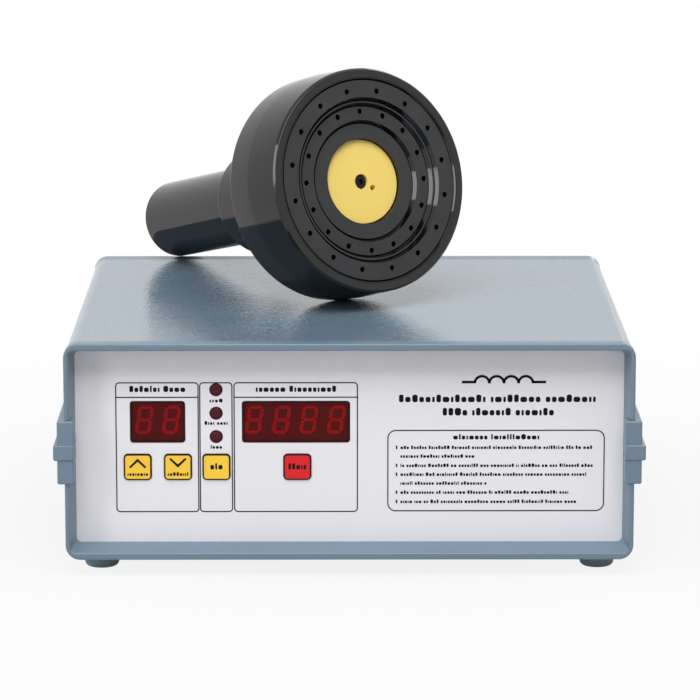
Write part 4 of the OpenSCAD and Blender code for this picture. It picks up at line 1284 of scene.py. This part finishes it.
@dataclass
class Studio:
    """Pale floor, soft light and the camera at the photograph's angle."""

    at: CaseFrame
    focal_px: float = 3848.0
    frame_px: float = 700.0
    sensor: float = 36.0
    tilt: float = 10.939
    yaw: float = 0.25
    eye: Triple = (-7.85, -1844.0, 461.9)
    clip_m: float = 60.0
    fill: float = 0.32
    floor_half: float = 9000.0
    floor_grey: float = 0.6
    fade_m: Point = (0.12, 0.5)
    fade_least: float = 0.85
    aim: Triple = (0.0, 0.0, 0.1)
    lamps: tuple[tuple[str, Triple, Point, float], ...] = (
        ("overhead_lamp", (0.0, -0.8, 1.4), (1.05, 1.05), 19.5),
        ("left_lamp", (-1.5, -1.2, 0.8), (0.45, 1.5), 9.0),
        ("rear_lamp", (0.9, 1.6, 0.9), (1.0, 1.0), 4.0),
    )

    def build(self) -> None:
        """Sets the whole stage."""
        bpy.context.scene.view_settings.view_transform = "Standard"
        self._camera()
        self._world()
        self._floor()
        for name, place, size, energy in self.lamps:
            self._lamp(name, Vector(place), size, energy)

    def _camera(self) -> None:
        """Puts the camera where the photograph was taken from."""
        data = bpy.data.cameras.new("camera")
        data.sensor_width = self.sensor
        data.lens = self.focal_px * self.sensor / self.frame_px
        data.clip_end = self.clip_m
        camera = bpy.data.objects.new("camera", data)
        x, y, z = self.eye
        camera.location = Vector((x, self.at.front + y, self.at.low + z)) * MM
        camera.rotation_euler = (math.radians(90 - self.tilt), 0, math.radians(-self.yaw))
        bpy.context.scene.collection.objects.link(camera)
        bpy.context.scene.camera = camera

    def _seen(self, tree: bpy.types.NodeTree) -> bpy.types.NodeSocket:
        """Adds nodes that tell which rays see the white surrounding.

        Args:
            tree: The node tree to add to.

        Returns:
            A socket that is 1 for camera, glossy and transmission rays.
        """
        path = tree.nodes.new("ShaderNodeLightPath")
        last = path.outputs["Is Camera Ray"]
        for name in ("Is Glossy Ray", "Is Transmission Ray"):
            both = tree.nodes.new("ShaderNodeMath")
            both.operation = "MAXIMUM"
            tree.links.new(last, both.inputs[0])
            tree.links.new(path.outputs[name], both.inputs[1])
            last = both.outputs["Value"]
        return last

    def _world(self) -> None:
        """Makes an even white surrounding that lights softly."""
        world = bpy.data.worlds.new("studio")
        bpy.context.scene.world = world
        world.use_nodes = True
        tree = world.node_tree
        light = tree.nodes["Background"]
        light.inputs["Color"].default_value = WHITE
        light.inputs["Strength"].default_value = self.fill
        shown = tree.nodes.new("ShaderNodeBackground")
        shown.inputs["Color"].default_value = WHITE
        shown.inputs["Strength"].default_value = 1.0
        mix = tree.nodes.new("ShaderNodeMixShader")
        tree.links.new(self._seen(tree), mix.inputs["Fac"])
        tree.links.new(light.outputs["Background"], mix.inputs[1])
        tree.links.new(shown.outputs["Background"], mix.inputs[2])
        tree.links.new(mix.outputs["Shader"], tree.nodes["World Output"].inputs["Surface"])

    def _floor(self) -> None:
        """Lays the floor: it takes the shadow near the object and is plain white further off."""
        draft = Draft()
        bmesh.ops.create_grid(draft.bm, x_segments=1, y_segments=1, size=self.floor_half)
        floor = draft.object("floor")
        material = bpy.data.materials.new("floor_white")
        material.use_nodes = True
        tree = material.node_tree
        tree.nodes.remove(tree.nodes["Principled BSDF"])
        matte = tree.nodes.new("ShaderNodeBsdfDiffuse")
        matte.inputs["Color"].default_value = (*[self.floor_grey] * 3, 1.0)
        glow = tree.nodes.new("ShaderNodeEmission")
        far = tree.nodes.new("ShaderNodeVectorMath")
        far.operation = "LENGTH"
        reach = tree.nodes.new("ShaderNodeMapRange")
        reach.inputs["From Min"].default_value, reach.inputs["From Max"].default_value = self.fade_m
        reach.inputs["To Min"].default_value = self.fade_least
        share = tree.nodes.new("ShaderNodeMath")
        share.operation = "MULTIPLY"
        mix = tree.nodes.new("ShaderNodeMixShader")
        place = tree.nodes.new("ShaderNodeTexCoord")
        tree.links.new(place.outputs["Object"], far.inputs[0])
        tree.links.new(far.outputs["Value"], reach.inputs["Value"])
        tree.links.new(reach.outputs["Result"], share.inputs[0])
        tree.links.new(self._seen(tree), share.inputs[1])
        tree.links.new(share.outputs["Value"], mix.inputs["Fac"])
        tree.links.new(matte.outputs["BSDF"], mix.inputs[1])
        tree.links.new(glow.outputs["Emission"], mix.inputs[2])
        tree.links.new(mix.outputs["Shader"], tree.nodes["Material Output"].inputs["Surface"])
        floor.data.materials.append(material)

    def _lamp(self, name: str, place: Vector, size: Point, energy: float) -> None:
        """Hangs a soft lamp that looks at the object.

        Args:
            name: Its name.
            place: Where it hangs, in metres.
            size: Width and height of its face, in metres.
            energy: Its power in watts.
        """
        data = bpy.data.lights.new(name, "AREA")
        data.shape = "RECTANGLE"
        data.size, data.size_y = size
        data.energy = energy
        lamp = bpy.data.objects.new(name, data)
        lamp.location = place
        lamp.rotation_euler = (Vector(self.aim) - place).to_track_quat("-Z", "Y").to_euler()
        bpy.context.scene.collection.objects.link(lamp)


def main() -> None:
    """Builds the sealer's sub-assemblies in order, logging each piece as it is made."""
    logging.basicConfig(level=logging.INFO, format="%(message)s")
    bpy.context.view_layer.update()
    at = CaseFrame.read()
    Studio(at).build()
    CaseShell(at).build()
    Keypad(at).build()
    RearPanel(at).build()
    Electronics().build()
    SealingHead().build()


if __name__ == "__main__":
    main()
